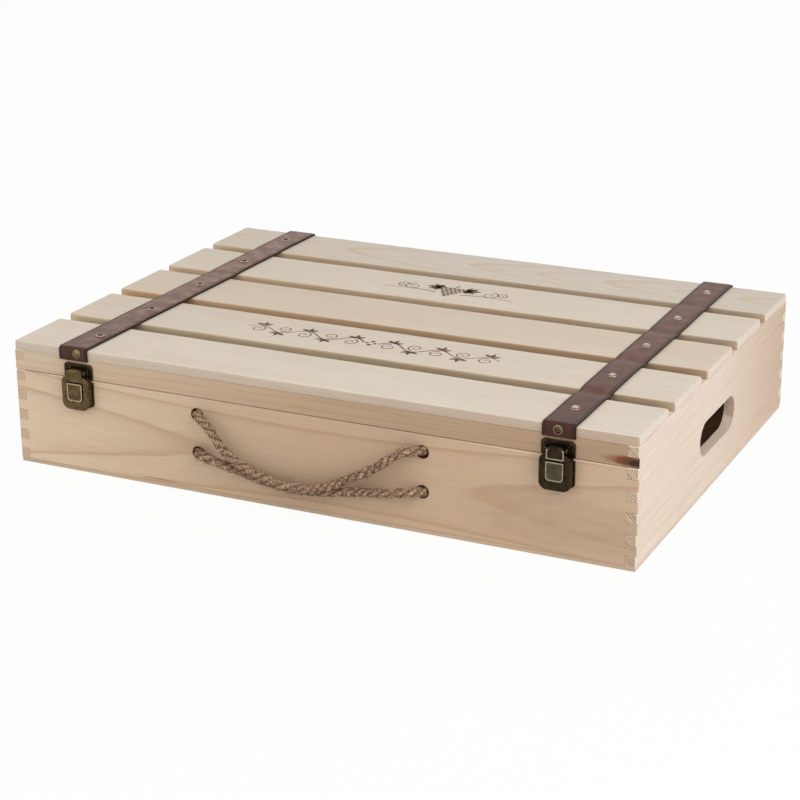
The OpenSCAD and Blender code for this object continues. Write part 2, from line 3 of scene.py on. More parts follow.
import bmesh
import bpy
import numpy as np
from mathutils import Matrix, Vector


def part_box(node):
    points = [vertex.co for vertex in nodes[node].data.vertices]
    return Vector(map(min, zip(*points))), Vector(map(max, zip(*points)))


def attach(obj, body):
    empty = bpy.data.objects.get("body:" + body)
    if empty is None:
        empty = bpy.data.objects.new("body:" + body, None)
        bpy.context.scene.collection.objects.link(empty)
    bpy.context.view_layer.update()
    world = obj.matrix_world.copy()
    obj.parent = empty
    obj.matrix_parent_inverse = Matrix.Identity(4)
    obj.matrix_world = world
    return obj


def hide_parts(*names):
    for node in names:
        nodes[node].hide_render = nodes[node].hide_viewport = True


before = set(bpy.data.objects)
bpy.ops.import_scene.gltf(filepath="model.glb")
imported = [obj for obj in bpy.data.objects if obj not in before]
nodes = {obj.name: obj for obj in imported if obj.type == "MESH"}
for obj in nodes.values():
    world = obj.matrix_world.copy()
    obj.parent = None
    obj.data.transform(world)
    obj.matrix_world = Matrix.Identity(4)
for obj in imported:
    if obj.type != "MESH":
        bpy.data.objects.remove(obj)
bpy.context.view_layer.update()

LEFT, RIGHT = -1, 1
MM = 0.001

# ---- Sizes read from the solids, in metres ----
slat_low, slat_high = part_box("slat_1")
strap_low, strap_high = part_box("right_strap")
rivet_low, rivet_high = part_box("right_strap_rivets")
HALF_W = slat_high[0]
HALF_D = -slat_low[1]
RAIL_TOP = slat_low[2]
SLAT_TOP = slat_high[2]
SLAT_W = slat_high[1] - slat_low[1]
SLAT_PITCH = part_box("slat_2")[0][1] - slat_low[1]
SLATS = 5
STRAP_X = (strap_low[0] + strap_high[0]) / 2
STRAP_W = strap_high[0] - strap_low[0]
STRAP_T = strap_high[2] - SLAT_TOP
STRAP_END_Z = strap_low[2]
STRAP_TOP = strap_high[2]
RIVET_D = rivet_high[0] - rivet_low[0]
RIVET_H = rivet_high[2] - STRAP_TOP
DROP_RIVET_Z = rivet_low[2] + RIVET_D / 2
SEAM_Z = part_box("front_board")[1][2]
BOARD_INSIDE_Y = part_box("front_board")[1][1]
KNOT_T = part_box("rope_knots")[1][1] - BOARD_INSIDE_Y


def placed(name, data):
    """A new object in the scene, at the origin."""
    made = bpy.data.objects.new(name, data)
    bpy.context.scene.collection.objects.link(made)
    return made


# ---- Camera ----

def place_camera():
    """A long lens in front of the right corner, a little above the lid."""
    right = (0.90437, 0.42672, -0.00462)
    up = (-0.14069, 0.30835, 0.94081)
    back = (0.40289, -0.85019, 0.33890)
    spot = (0.66125, -1.41940, 0.59213)
    camera = placed("camera", bpy.data.cameras.new("camera"))
    camera.data.sensor_width = 36
    camera.data.lens = 94.196
    camera.matrix_world = Matrix((right + (0,), up + (0,), back + (0,), spot + (1,))).transposed()
    bpy.context.scene.camera = camera


place_camera()


# ---- Making meshes from grids ----

def closed_tubes(points, offset):
    """Faces of many tubes at once: points is (tubes, rows, columns, 3), every row a ring.
    Quads join neighbouring rings, and the first and last ring of each tube get a flat face.
    Corner numbers start at the offset."""
    corner = offset + np.arange(points[..., 0].size).reshape(points.shape[:3])
    beside = np.roll(corner, -1, axis=2)
    quads = stacked(corner[:, :-1], beside[:, :-1], beside[:, 1:], corner[:, 1:]).reshape(-1, 4)
    return quads.tolist() + corner[:, 0, ::-1].tolist() + corner[:, -1].tolist()


def outward(points, faces):
    """The faces, turned round if the volume that they enclose comes out negative.
    The volume is the sum of p0 . (p1 x p2) over a fan of triangles of every face."""
    volume = 0.0
    for size in sorted({len(face) for face in faces}):
        block = points[np.array([face for face in faces if len(face) == size])]
        fans = np.cross(block[:, 1:-1], block[:, 2:])
        volume += (block[:, :1] * fans).sum()
    return faces if volume > 0 else [face[::-1] for face in faces]


def on_body(name, mesh, materials, sharp, body, stands_for):
    """An object that rides on a body, smooth but for the edges sharper than an angle."""
    for material in materials:
        mesh.materials.append(material)
    mesh.shade_smooth()
    mesh.set_sharp_from_angle(angle=math.radians(sharp))
    made = placed(name, mesh)
    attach(made, body)
    if stands_for:
        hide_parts(*stands_for)
    return made


def piece(name, blocks, body, materials, sharp, stands_for, slot, **attributes):
    """An object made of blocks of closed tubes, which rides on a body. Each further argument is
    one number, or three, for every point, kept as an attribute."""
    points = np.concatenate([block.reshape(-1, 3) for block in blocks])
    starts = np.cumsum([0] + [block.size // 3 for block in blocks])
    faces = [face for block, start in zip(blocks, starts) for face in closed_tubes(block, start)]
    mesh = bpy.data.meshes.new(name)
    mesh.from_pydata(points.tolist(), [], outward(points, faces))
    for title, values in attributes.items():
        kind, key = ("FLOAT_VECTOR", "vector") if values.shape[-1] == 3 else ("FLOAT", "value")
        mesh.attributes.new(title, kind, "POINT").data.foreach_set(key, values.ravel())
    return on_body(name, mesh, materials, sharp, body, stands_for)


def read(items, key):
    """A value of three numbers from each vertex or face of a mesh."""
    values = np.empty(len(items) * 3)
    items.foreach_get(key, values)
    return values.reshape(-1, 3)


def stacked(*parts):
    """Arrays side by side along a new last axis."""
    return np.stack(parts, axis=-1)


def heading(angle):
    """Unit vectors in a plane at the given angles."""
    return stacked(np.cos(angle), np.sin(angle))


def ring_angles(count):
    """Equal angles once round a circle."""
    return np.linspace(0, 2 * math.pi, count, endpoint=False)


def unit(vectors):
    """Each vector divided by its own length."""
    return vectors / np.linalg.norm(vectors, axis=-1, keepdims=True)


def evenly(line, step=None, count=None):
    """A line cut at equal distances, by a step or a count; gives the distances too."""
    along = np.concatenate([[0], np.cumsum(np.linalg.norm(np.diff(line, axis=0), axis=1))])
    even = np.linspace(0, along[-1], count or int(round(along[-1] / step)) + 1)
    return stacked(*(np.interp(even, along, column) for column in line.T)), even


def smooth_line(controls, step):
    """A Catmull-Rom curve through the control points, cut at equal steps along its length.
    Between two controls it is the cubic whose end slopes are half the chords of the neighbours."""
    p = np.asarray(controls, dtype=float)
    p = np.vstack([2 * p[0] - p[1], p, 2 * p[-1] - p[-2]])
    t = np.linspace(0, 1, 40, endpoint=False)[None, :, None]
    a, b, c, d = (p[i:len(p) - 3 + i, None, :] for i in range(4))
    curve = 0.5 * (2 * b + (c - a) * t + (2 * a - 5 * b + 4 * c - d) * t ** 2
                   + (3 * b - a - 3 * c + d) * t ** 3)
    return evenly(np.vstack([curve.reshape(-1, p.shape[1]), p[-2]]), step)


def carried_axes(line, reference):
    """Two axes square to a line that don't turn about it: the axes square to a fixed
    reference, turned back by the angle that they have turned so far."""
    ahead = unit(np.gradient(line, axis=0))
    one = unit(np.cross(reference, ahead))
    two = np.cross(ahead, one)
    turning = (np.gradient(one, axis=0) * two).sum(axis=1)
    angle = -np.cumsum(turning)[:, None]
    return (np.cos(angle) * one + np.sin(angle) * two,
            np.cos(angle) * two - np.sin(angle) * one)


# ---- Building materials ----

def feed(ends, values):
    """Gives named sockets a link each, or a value."""
    for key, value in values.items():
        if isinstance(value, bpy.types.NodeSocket):
            value.id_data.links.new(value, ends[key])
        else:
            ends[key].default_value = value


def add(tree, kind, inputs=None, **settings):
    """Adds a shader node to a tree and gives its outputs."""
    made = tree.nodes.new("ShaderNode" + kind)
    for name, value in settings.items():
        setattr(made, name, value)
    feed(made.inputs, inputs or {})
    return made.outputs


def linked(kind, inputs, **settings):
    """Adds a shader node to the tree that its first linked input is in, and gives its outputs."""
    tree = next(value.id_data for value in inputs.values() if isinstance(value, bpy.types.NodeSocket))
    return add(tree, kind, inputs, **settings)


def maths(operation, *values):
    """The result of one Math node."""
    return linked("Math", dict(enumerate(values)), operation=operation)[0]


def times(first, second):
    """One number times another."""
    return maths("MULTIPLY", first, second)


def absolute(value):
    """A number without its sign."""
    return maths("ABSOLUTE", value)


def vectors(operation, *values, output=0):
    """The vector that one Vector Math node gives, or its number with output 1."""
    return linked("VectorMath", dict(enumerate(values)), operation=operation)[output]


def scaled(vector, factor):
    """A vector or a colour times one number."""
    return linked("VectorMath", {0: vector, "Scale": factor}, operation="SCALE")[0]


def split(vector):
    """The three numbers of a vector."""
    return linked("SeparateXYZ", {0: vector})


def mixed(factor, first, second):
    """A colour between two colours, each a socket or red, green and blue from 0 to 255."""
    first, second = (shade(*c) if isinstance(c, tuple) else c for c in (first, second))
    return linked("Mix", {0: factor, 6: first, 7: second}, data_type="RGBA")[2]


def ranged(value, low, high, to_low=0.0, to_high=1.0, how="SMOOTHSTEP"):
    """A value moved from one range to another, held at the ends."""
    return linked("MapRange", {0: value, 1: low, 2: high, 3: to_low, 4: to_high},
                  interpolation_type=how)[0]


def noise(vector, scale, detail=3.0, roughness=0.5, output=0):
    """A noise value, or its colour with output 1."""
    return linked("TexNoise", {"Vector": vector, "Scale": scale, "Detail": detail,
                               "Roughness": roughness})[output]


def grainy(vector, along, across, detail=3.0, roughness=0.5, output=0):
    """Noise drawn out along X: its scale along X, and its scale across."""
    drawn = vectors("MULTIPLY", vector, (along, across, across))
    return noise(drawn, 1.0, detail, roughness, output)


def shake(vector, amount, *noise_settings):
    """A push of half the amount at most in each direction, from a noise like grainy."""
    push = grainy(vector, *noise_settings, output=1)
    return scaled(vectors("SUBTRACT", push, (0.5, 0.5, 0.5)), amount)


def bumped(height, strength, distance):
    """A surface normal bent by a relief."""
    return linked("Bump", {"Height": height, "Strength": strength, "Distance": distance})[0]


def new_group(name, places, numbers, outputs):
    """An empty node group that takes vectors and numbers and gives numbers, all named; gives the
    tree and its two ends."""
    tree = bpy.data.node_groups.new(name, "ShaderNodeTree")
    for way, kind, titles in (("INPUT", "Vector", places), ("INPUT", "Float", numbers),
                              ("OUTPUT", "Float", outputs)):
        for title in titles:
            tree.interface.new_socket(title, in_out=way, socket_type="NodeSocket" + kind)
    return tree, tree.nodes.new("NodeGroupInput").outputs, tree.nodes.new("NodeGroupOutput").inputs


def shade(red, green, blue):
    """A colour given in the usual 0 to 255, as the linear light that shaders use."""
    values = [c / 255 for c in (red, green, blue)]
    return tuple(c / 12.92 if c <= 0.04045 else ((c + 0.055) / 1.055) ** 2.4 for c in values) + (1.0,)


def ramp(value, colours):
    """A colour that runs evenly through the given colours as the value goes from 0 to 1."""
    node = add(value.id_data, "ValToRGB", {0: value})[0].node
    elements = node.color_ramp.elements
    for _ in colours[2:]:
        elements.new(0.5)
    for number, (element, colour) in enumerate(zip(elements, colours)):
        element.position = number / (len(colours) - 1)
        element.color = shade(*colour)
    return node.outputs[0]


def new_material(name):
    """A material with one Principled shader; gives the material, the coordinates of a point on
    the surface, and the shader's inputs."""
    material = bpy.data.materials.new(name)
    material.use_nodes = True
    tree = material.node_tree
    return material, add(tree, "TexCoord"), tree.nodes["Principled BSDF"].inputs


def kept(material, name, output="Fac"):
    """An attribute that a piece keeps for every point."""
    return add(material.node_tree, "Attribute", attribute_name=name)[output]


# ---- Rope handle ----

ROPE_ROUTE = np.array([
    [-91.5, -172, 62.5], [-91.5, -176.5, 62.5], [-89, -183, 62.5], [-84, -187.5, 61.5],
    [-77.5, -189.5, 58.5], [-70.5, -190.5, 50.5], [-64.5, -190, 42.5], [-54, -191.5, 36],
    [-43, -192, 31], [-21.5, -193, 25.5], [3, -193, 24], [19.5, -193, 28], [30.5, -192.5, 33],
    [50, -193, 43], [61.5, -191, 50], [67.5, -191.5, 54.5], [77, -190, 61.5], [83.5, -188, 63.5],
    [88.5, -184, 63.5], [91.5, -177.5, 63], [91.5, -166.5, 62.5], [91, -156, 56], [91, -152.5, 46.5],
    [91, -156, 37.5], [91.5, -166, 31.5], [92, -176, 31.5], [88.5, -183.5, 32.5], [81.5, -188, 32.5],
    [68.5, -190, 30.5], [46.5, -187, 26.5], [25.5, -188, 23.5], [0.5, -186, 19.5], [-28.5, -186.5, 21],
    [-54.5, -185, 25.5], [-70.5, -190.5, 32], [-81.5, -189, 33.5], [-88, -184.5, 33],
    [-91, -178, 32.5], [-91, -172, 32.5]]) * MM
ROPE_D = 6.5 * MM
ROPE_SWELL = 1.1
HOLE_X = 0.091
HOLE_LEVELS = (0.062, 0.032)
ROPE_LAY = 0.024
STRANDS = 3
STRAND_OFFSET = 0.72
TUFTS = [0.172, 0.400, 0.467, 0.480]
ROPE_STEP = 0.9 * MM
ROPE_FIBRES = 4200
TUFT_FIBRES = 320
KNOT_REACH = 1.95 * MM
KNOT_DEPTH = 2.1 * MM


def laid_rope(line, along, reference, around):
    """A rope of three strands laid round a line. Seen along the line its outline is the union of
    three circles that overlap about the middle, and the outline turns once in every lay. Each
    strand also carries finer yarns that turn the other way. Gives the points, the depth of the
    furrows between the strands, and coordinates that follow the fibres."""
    one, two = carried_axes(line, reference)
    along = along[:, None]
    angle = ring_angles(around)[None, :]
    turn = -2 * math.pi * along / ROPE_LAY + 0.5 * np.sin(along * 120)
    lobe = (angle - turn) % (2 * math.pi / STRANDS) - math.pi / STRANDS
    outline = STRAND_OFFSET * np.cos(lobe) + np.sqrt(1 - (STRAND_OFFSET * np.sin(lobe)) ** 2)
    outline /= 1 + STRAND_OFFSET
    yarns = np.sin(9 * (angle + 1.6 * turn)) * np.sin(5 * angle + 0.7 * turn)
    swell = 1 + 0.05 * np.sin(along * 310) + 0.04 * np.sin(along * 770 + 1)
    distance = ROPE_SWELL * ROPE_D / 2 * outline * (swell + 0.05 * yarns)
    outwards = np.cos(angle)[..., None] * one[:, None] + np.sin(angle)[..., None] * two[:, None]
    points = line[:, None] + distance[..., None] * outwards
    furrow = (1 - outline) / (1 - outline.min())
    slant = angle + 0.9 * turn
    fibres = stacked(np.broadcast_to(along * 0.12, slant.shape),
                     distance * np.cos(slant), distance * np.sin(slant))
    return points, furrow, fibres


def rope_fuzz(line, along, count, seed, places=(), spread=0.0, longer=1.0):
    """Stray fibres: each leaves the rope's surface at a slant, curls, and ends in a point.
    A fibre is a thin three-sided tube along a bent line of five points. They stand all along the
    rope, or close to the given places along it."""
    draw = np.random.default_rng(seed)
    if len(places):
        middle = np.repeat(places, count // len(places))
        at = np.searchsorted(along, middle + draw.normal(size=len(middle)) * spread)
    else:
        at = draw.integers(4, len(line) - 4, count)
    ahead = unit(line[at + 2] - line[at - 2])
    out = draw.normal(size=(count, 3))
    out = unit(out - (out * ahead).sum(axis=1, keepdims=True) * ahead)
    drift = ahead * draw.choice([-1, 1], (count, 1)) * draw.uniform(0.3, 1.6, (count, 1))
    drift += draw.normal(size=(count, 3)) * 0.35
    reach = draw.uniform(0.7, 2.0, (count, 1)) * MM * (1 + 1.6 * (draw.random((count, 1)) > 0.93))
    t = np.linspace(0, 1, 5)[None, :, None]
    start = line[at] + out * ROPE_D * 0.44
    slant = unit(out * draw.uniform(0.35, 1.1, (count, 1)) + drift)
    curl = draw.normal(size=(count, 3)) * 0.45
    middle = start[:, None] + longer * reach[:, None] * (slant[:, None] * t * 1.4 + curl[:, None] * t ** 2)
    side = unit(np.cross(slant, [0.3, 0.8, 0.5]))
    corner = ring_angles(3)[:, None]
    ring = np.cos(corner) * side[:, None, None] + np.sin(corner) * np.cross(slant, side)[:, None, None]
    thin = 0.085 * MM * (1 - 0.85 * t[..., None])
    return middle[:, :, None] + thin * ring


def rope_knot(centre, spin):
    """A stopper knot: a trefoil line, x = sin t + 1.7 sin 2t and y = cos t - 1.7 cos 2t, squeezed
    until its loops lie on each other and turned by the spin."""
    t = ring_angles(40)
    across = np.sin(t) + 1.7 * np.sin(2 * t)
    up = np.cos(t) - 1.7 * np.cos(2 * t)
    line = centre + stacked(KNOT_REACH * (math.cos(spin) * across - math.sin(spin) * up),
                            -KNOT_DEPTH * np.sin(3 * t),
                            KNOT_REACH * (math.sin(spin) * across + math.cos(spin) * up))
    return smooth_line(np.vstack([line, line[:2]]), ROPE_STEP)


def jute_material(name, furrow_shade, tone):
    """Dry jute: straw fibres, with painted shade in the furrows between the strands; tone dims it all."""
    material, place, shader = new_material(name)
    place = place["Object"]
    laid = furrow_shade > 0
    streak = noise(kept(material, "fibres", "Vector") if laid else place, 1700, 4, 0.7)
    speck = noise(place, 620, 3, 0.65)
    straw = mixed(ranged(streak, 0.42, 0.58), (94, 64, 43), (218, 185, 154))
    straw = mixed(ranged(speck, 0.5, 0.6, 0.0, 0.7), straw, (80, 52, 34))
    straw = mixed(ranged(noise(place, 130, 2), 0.4, 0.7, 0.0, 0.3), straw, (176, 142, 112))
    if laid:
        # Painted shade in the furrows between the strands.
        furrow = maths("POWER", kept(material, "furrow"), 1.5)
        straw = mixed(times(furrow, furrow_shade), straw, (62, 38, 22))
    feed(shader, {"Base Color": scaled(straw, tone),
                  "Roughness": ranged(streak, 0.2, 0.8, 0.95, 0.75),
                  "Normal": bumped(maths("MULTIPLY_ADD", speck, 0.8, streak), 0.9, 0.45 * MM),
                  "Specular IOR Level": 0.2})
    return material


def make_rope():
    """The handle: one rope through the four holes, its knots inside, and its stray fibres."""
    line, along = smooth_line(ROPE_ROUTE, ROPE_STEP)
    jute = jute_material("jute_rope", 0.7, 1.0)
    points, furrow, fibres = laid_rope(line, along, unit(np.array([1.0, 1.0, -1.0])), 42)
    rope = piece("jute_handle", [points[None]], "box", [jute], 180, ["handle_rope"], "jute",
                 furrow=furrow, fibres=fibres)
    tied = []
    for number, z in enumerate(HOLE_LEVELS):
        knot = rope_knot((-HOLE_X, BOARD_INSIDE_Y + KNOT_T / 2, z), 0.6 + number)
        tied.append(laid_rope(*knot, np.array([0.1, 1.0, 0.2]), 24))
    points, furrow, fibres = (np.array(part) for part in zip(*tied))
    knots = piece("jute_knots", [points], "box", [jute], 180, ["rope_knots"], "jute",
                  furrow=furrow, fibres=fibres)
    hairs = [rope_fuzz(line, along, ROPE_FIBRES, 4),
             rope_fuzz(line, along, TUFT_FIBRES, 5, TUFTS, 0.002, 1.8)]
    fuzz = piece("jute_fibres", hairs, "box", [jute_material("jute_fibre", 0.0, 0.6)], 180, (), "jute")


make_rope()


# ---- Wood ----

GRAIN_RIPPLE = 0.7 * MM


def make_pine_grain():
    """Growth rings round a bowed log. The log's middle is the X axis, moved off it by the bow
    times x squared. The distance from that line, bent by a long soft noise, is cut into years of
    uneven width; each year darkens softly and ends in a thin late line, which a short noise
    ripples. Fine fibres run along X, and broad patches change the tone."""
    tree, given, result = new_group(
        "pine_grain", ["Vector", "bow"], ["ring", "wave", "thin", "uneven"],
        ["Rings", "Fibres", "Patches", "Pores"])
    x = split(given["Vector"])[0]
    straight = vectors("SUBTRACT", given["Vector"], scaled(given["bow"], times(x, x)))
    bend = shake(straight, given["wave"], 3.0, 11.0, 2.0, 0.45)
    ripple = shake(straight, GRAIN_RIPPLE, 26.0, 90.0, 3.0, 0.55)
    moved = vectors("ADD", vectors("ADD", straight, bend), ripple)
    radius = vectors("LENGTH", vectors("MULTIPLY", moved, (0.0, 1.0, 1.0)), output=1)
    years = maths("DIVIDE", radius, given["ring"])
    uneven = linked("TexNoise", {"W": years, "Scale": 0.21, "Detail": 2.0}, noise_dimensions="1D")[0]
    years = maths("ADD", years, times(uneven, given["uneven"]))
    season = maths("FRACT", years)
    weight = linked("TexWhiteNoise", {"W": maths("FLOOR", years)}, noise_dimensions="1D")[0]
    rise = ranged(season, 0.1, 0.9)
    crisp = maths("POWER", rise, times(given["thin"], 8.0))
    line = maths("MULTIPLY_ADD", maths("POWER", rise, given["thin"]), 0.45, times(crisp, 0.55))
    line = times(line, ranged(season, 0.91, 0.97, 1.0, 0.0))
    feed(result, {"Rings": times(line, ranged(weight, 0.0, 1.0, 0.25, 1.0, "LINEAR")),
                  "Fibres": grainy(moved, 14.0, 720.0, 5.0, 0.62),
                  "Patches": grainy(moved, 4.0, 32.0, 2.0),
                  "Pores": ranged(grainy(moved, 45.0, 2400.0, 2.0), 0.62, 0.75)})
    return tree


def make_knot_mark():
    """A mask that is 1 inside a distorted ball of radius 1 about the origin and falls away
    outside it, and fine rings round the same middle."""
    tree, given, result = new_group("knot_mark", ["Vector"], [], ["Knot", "Rings"])
    moved = vectors("ADD", given["Vector"], shake(given["Vector"], 0.9, 1.3, 1.3, 3.0, 0.6))
    distance = vectors("LENGTH", moved, output=1)
    feed(result, {"Knot": ranged(distance, 0.45, 1.25, 1.0, 0.0),
                  "Rings": ranged(maths("SINE", times(distance, 16.0)), -1.0, 1.0)})
    return tree


PINE_GRAIN = make_pine_grain()
KNOT_MARK = make_knot_mark()

# How a board is cut from its log and coloured: these are the values that a look may leave out.
# The log's middle passes through pith, along X or, with along_y, along Y; it leans by the two
# tilts in degrees and is bowed. Colours are 0 to 255, and tones run along the board; on some
# boards they are painted shade. The end values are for end grain, and inner for end grain well
# inside the box's length. edge is the colour of the faces across a slat. Holes are round marks,
# painted dark inside as the shade in the hole: X, Z and a radius.
PINE = dict(bow=(0.0, 0.0, 0.0), along_y=False, thin=2.2, uneven=3.0, patches=0.3, end_rings=0.6,
            inner=None, edge=None, knots=(), holes=())


def pine_grain(log, look):
    """The grain at a point of a log that is bowed and has grown as a look says."""
    grown = {key: look[key] for key in ("bow", "ring", "wave", "thin", "uneven")}
    return linked("Group", {"Vector": log, **grown}, node_tree=PINE_GRAIN)


def pine(name, **changes):
    """Sanded pine: tones along the board, warm patches, late lines, fibres, pores and knots, with painted
    light and shade in some tones, marks and holes.
    """
    look = {**PINE, **changes}
    material, place, shader = new_material(name)
    here, facing = place["Object"], split(place["Normal"])
    along, across, reach = (1, 0, HALF_D) if look["along_y"] else (0, 1, HALF_W)
    lean = (0.0, math.radians(look["tilt"][1]), math.radians(look["tilt"][0] - 90 * along))
    centred = linked("Mapping", {"Vector": here, "Location": tuple(-c for c in look["pith"])})[0]
    log = linked("Mapping", {"Vector": centred, "Rotation": lean})[0]
    grain = pine_grain(log, look)
    spot = split(here)[along]
    share = ranged(spot, -reach, reach, how="LINEAR")
    patches = ranged(grain["Patches"], 0.42, 0.75, 0.0, look["patches"])
    # The tones run along the board; on the front and back boards and the rails they darken towards the
    # right end as painted shade.
    soft = mixed(patches, ramp(share, look["tones"]), look["warm"])
    if look["edge"]:
        soft = mixed(ranged(absolute(facing[across]), 0.45, 0.8), soft, ramp(share, look["edge"]))
    end = ranged(absolute(facing[along]), 0.8, 0.95)
    ends = look["end"], look["end_late"]
    if look["inner"]:
        outer = ranged(absolute(spot), reach * 0.6, reach * 0.8)
        ends = [mixed(outer, inside, outside) for inside, outside in zip(look["inner"], ends)]
    rings = times(grain["Rings"], ranged(end, 0.0, 1.0, look["rings"], look["end_rings"], "LINEAR"))
    colour = mixed(rings, mixed(end, soft, ends[0]), mixed(end, look["late"], ends[1]))
    fibres = look["fibres"]
    streak = ranged(grain["Fibres"], 0.3, 0.7, 1.0 - fibres, 1.0 + fibres * 0.25, "LINEAR")
    colour = mixed(times(grain["Pores"], 0.15), scaled(colour, streak), (150, 112, 78))
    # Knots and marks; on the front board one is painted shade and one a painted highlight.
    for middle, size, strength, dark, light in look["knots"]:
        local = linked("Mapping", {"Vector": here, "Location": middle, "Scale": size},
                       vector_type="TEXTURE")[0]
        mark = linked("Group", {"Vector": local}, node_tree=KNOT_MARK)
        shown = times(mark["Knot"], ranged(end, 0.0, 1.0, strength, 0.0))
        colour = mixed(shown, colour, mixed(mark["Rings"], dark, light))
    flat = vectors("MULTIPLY", here, (1.0, 0.0, 1.0))
    gloss = 0.3
    # Painted shade inside the holes, where their gloss is also taken away.
    for x, z, radius in look["holes"]:
        away = vectors("DISTANCE", flat, (x, 0.0, z), output=1)
        inside = ranged(away, radius - 0.2 * MM, radius + 0.4 * MM, 1.0, 0.0)
        colour = mixed(inside, colour, (58, 32, 16))
        gloss = times(gloss, maths("SUBTRACT", 1.0, inside))
    relief = maths("MULTIPLY_ADD", grain["Rings"], 0.5, grain["Fibres"])
    relief = maths("MULTIPLY_ADD", grain["Pores"], -0.4, relief)
    feed(shader, {"Base Color": colour,
                  "Roughness": ranged(grain["Fibres"], 0.3, 0.7, 0.66, 0.54, "LINEAR"),
                  "Normal": bumped(relief, 0.3, 0.2 * MM),
                  "Specular IOR Level": gloss})
    return material


def plywood(name):
    """Thin plywood: pine faces darkened as painted shade inside the box, and thin dark and light layers on
    its edges.
    """
    material, place, shader = new_material(name)
    log = linked("Mapping", {"Vector": place["Object"], "Location": (0.0, 0.02, -0.3),
                             "Rotation": (0.0, math.radians(3), 0.0)})[0]
    grain = pine_grain(log, {**PINE, "ring": 7 * MM, "wave": 40 * MM})
    # The face colours are darkened as painted shade inside the closed box.
    face = mixed(times(grain["Rings"], 0.4), (176, 150, 120), (146, 112, 80))
    layer = maths("SINE", times(split(place["Object"])[2], 2 * math.pi / MM))
    facing = split(place["Normal"])
    edge = mixed(ranged(absolute(facing[0]), 0.4, 0.8), (206, 180, 150), (232, 214, 196))
    edge = scaled(edge, ranged(layer, -0.4, 0.4, 0.93, 1.0))
    colour = mixed(ranged(absolute(facing[2]), 0.4, 0.8), edge, face)
    streak = ranged(grain["Fibres"], 0.3, 0.7, 0.82, 1.0, "LINEAR")
    feed(shader, {"Base Color": scaled(colour, streak),
                  "Roughness": ranged(grain["Fibres"], 0.3, 0.7, 0.75, 0.6),
                  "Normal": bumped(grain["Fibres"], 0.4, 0.25 * MM)})
    return material


def dress(name, material):
    """Gives a CAD node its material."""
    slots = nodes[name].data.materials
    slots.clear()
    slots.append(material)


# TAN's tones darken from the left end towards the middle and right, and RAIL's all the way to the right:
# painted shade, where the light falls off along the box.
TAN = dict(tones=[(223, 200, 171), (198, 170, 141), (200, 174, 146)], late=(168, 130, 98),
           warm=(206, 170, 138), ring=7.5 * MM, wave=1.5 * MM, thin=5.0, rings=0.6,
           fibres=0.08, end=(236, 218, 198), end_late=(196, 160, 128), end_rings=0.45)
RAIL = {**TAN, "tones": [(213, 192, 166), (187, 159, 129), (171, 143, 116)], "ring": 4 * MM,
        "wave": 7 * MM, "thin": 4.0, "rings": 0.4}
CREAM = dict(tones=[(240, 224, 208), (237, 220, 203), (210, 184, 159)], late=(208, 174, 144),
             warm=(230, 202, 178), rings=0.85, fibres=0.1, ring=1.45 * MM, wave=2 * MM, thin=2.0,
             along_y=True, end=(228, 200, 170), end_late=(56, 38, 24), end_rings=3.2, uneven=0.8,
             inner=[(230, 210, 192), (150, 118, 96)])
LEFT_CREAM = {**CREAM, "end": (206, 176, 150), "end_late": (178, 142, 116), "end_rings": 0.5,
              "ring": 1.75 * MM, "uneven": 3.0}
PALE = dict(tones=[(222, 208, 190), (226, 214, 196)], late=(208, 186, 160), warm=(216, 198, 176),
            rings=0.28, fibres=0.1, patches=0.35, wave=9 * MM, end=(236, 220, 204),
            end_late=(214, 190, 164), edge=[(214, 186, 150), (184, 162, 138)])
# The rests inside the box: their tones are darkened as painted shade, seen through the hand holes.
SHADED_RAW = {**TAN, "tones": [(172, 142, 112), (172, 142, 112)], "ring": 3 * MM}

# A knot or another mark in the wood: its middle, its half size, how strongly it shows and its
# two colours. On the front board the first is painted shade over the lower right end, and the
# last a painted highlight along the top edge by the seam.
FRONT_MARKS_AND_PAINTED_LIGHT = [((0.208, -0.180, 0.027), (0.085, 0.030, 0.022), 0.65, (178, 150, 122), (184, 157, 129)),
               ((-0.125, -0.180, 0.0052), (0.017, 0.004, 0.0006), 1.0, (168, 122, 90), (180, 134, 102)),
               ((0.143, -0.180, 0.0365), (0.013, 0.004, 0.0028), 0.8, (190, 150, 124), (194, 158, 132)),
               ((0.190, -0.180, SEAM_Z), (0.080, 0.004, 0.0011), 0.9, (220, 192, 160), (226, 200, 170))]
RAIL_KNOTS = [((0.238, -0.180, 0.0803), (0.015, 0.012, 0.0032), 0.9, (150, 102, 66), (158, 110, 72)),
              ((0.243, -0.180, 0.0798), (0.012, 0.012, 0.0038), 1.0, (98, 56, 30), (114, 66, 36)),
              ((0.249, -0.177, 0.0790), (0.009, 0.009, 0.0036), 1.0, (46, 26, 16), (56, 34, 22))]
# Painted shade inside the four rope holes of the front board.
HOLE_SHADES = [(side * HOLE_X, z, 5.0 * MM) for side in (LEFT, RIGHT) for z in HOLE_LEVELS]

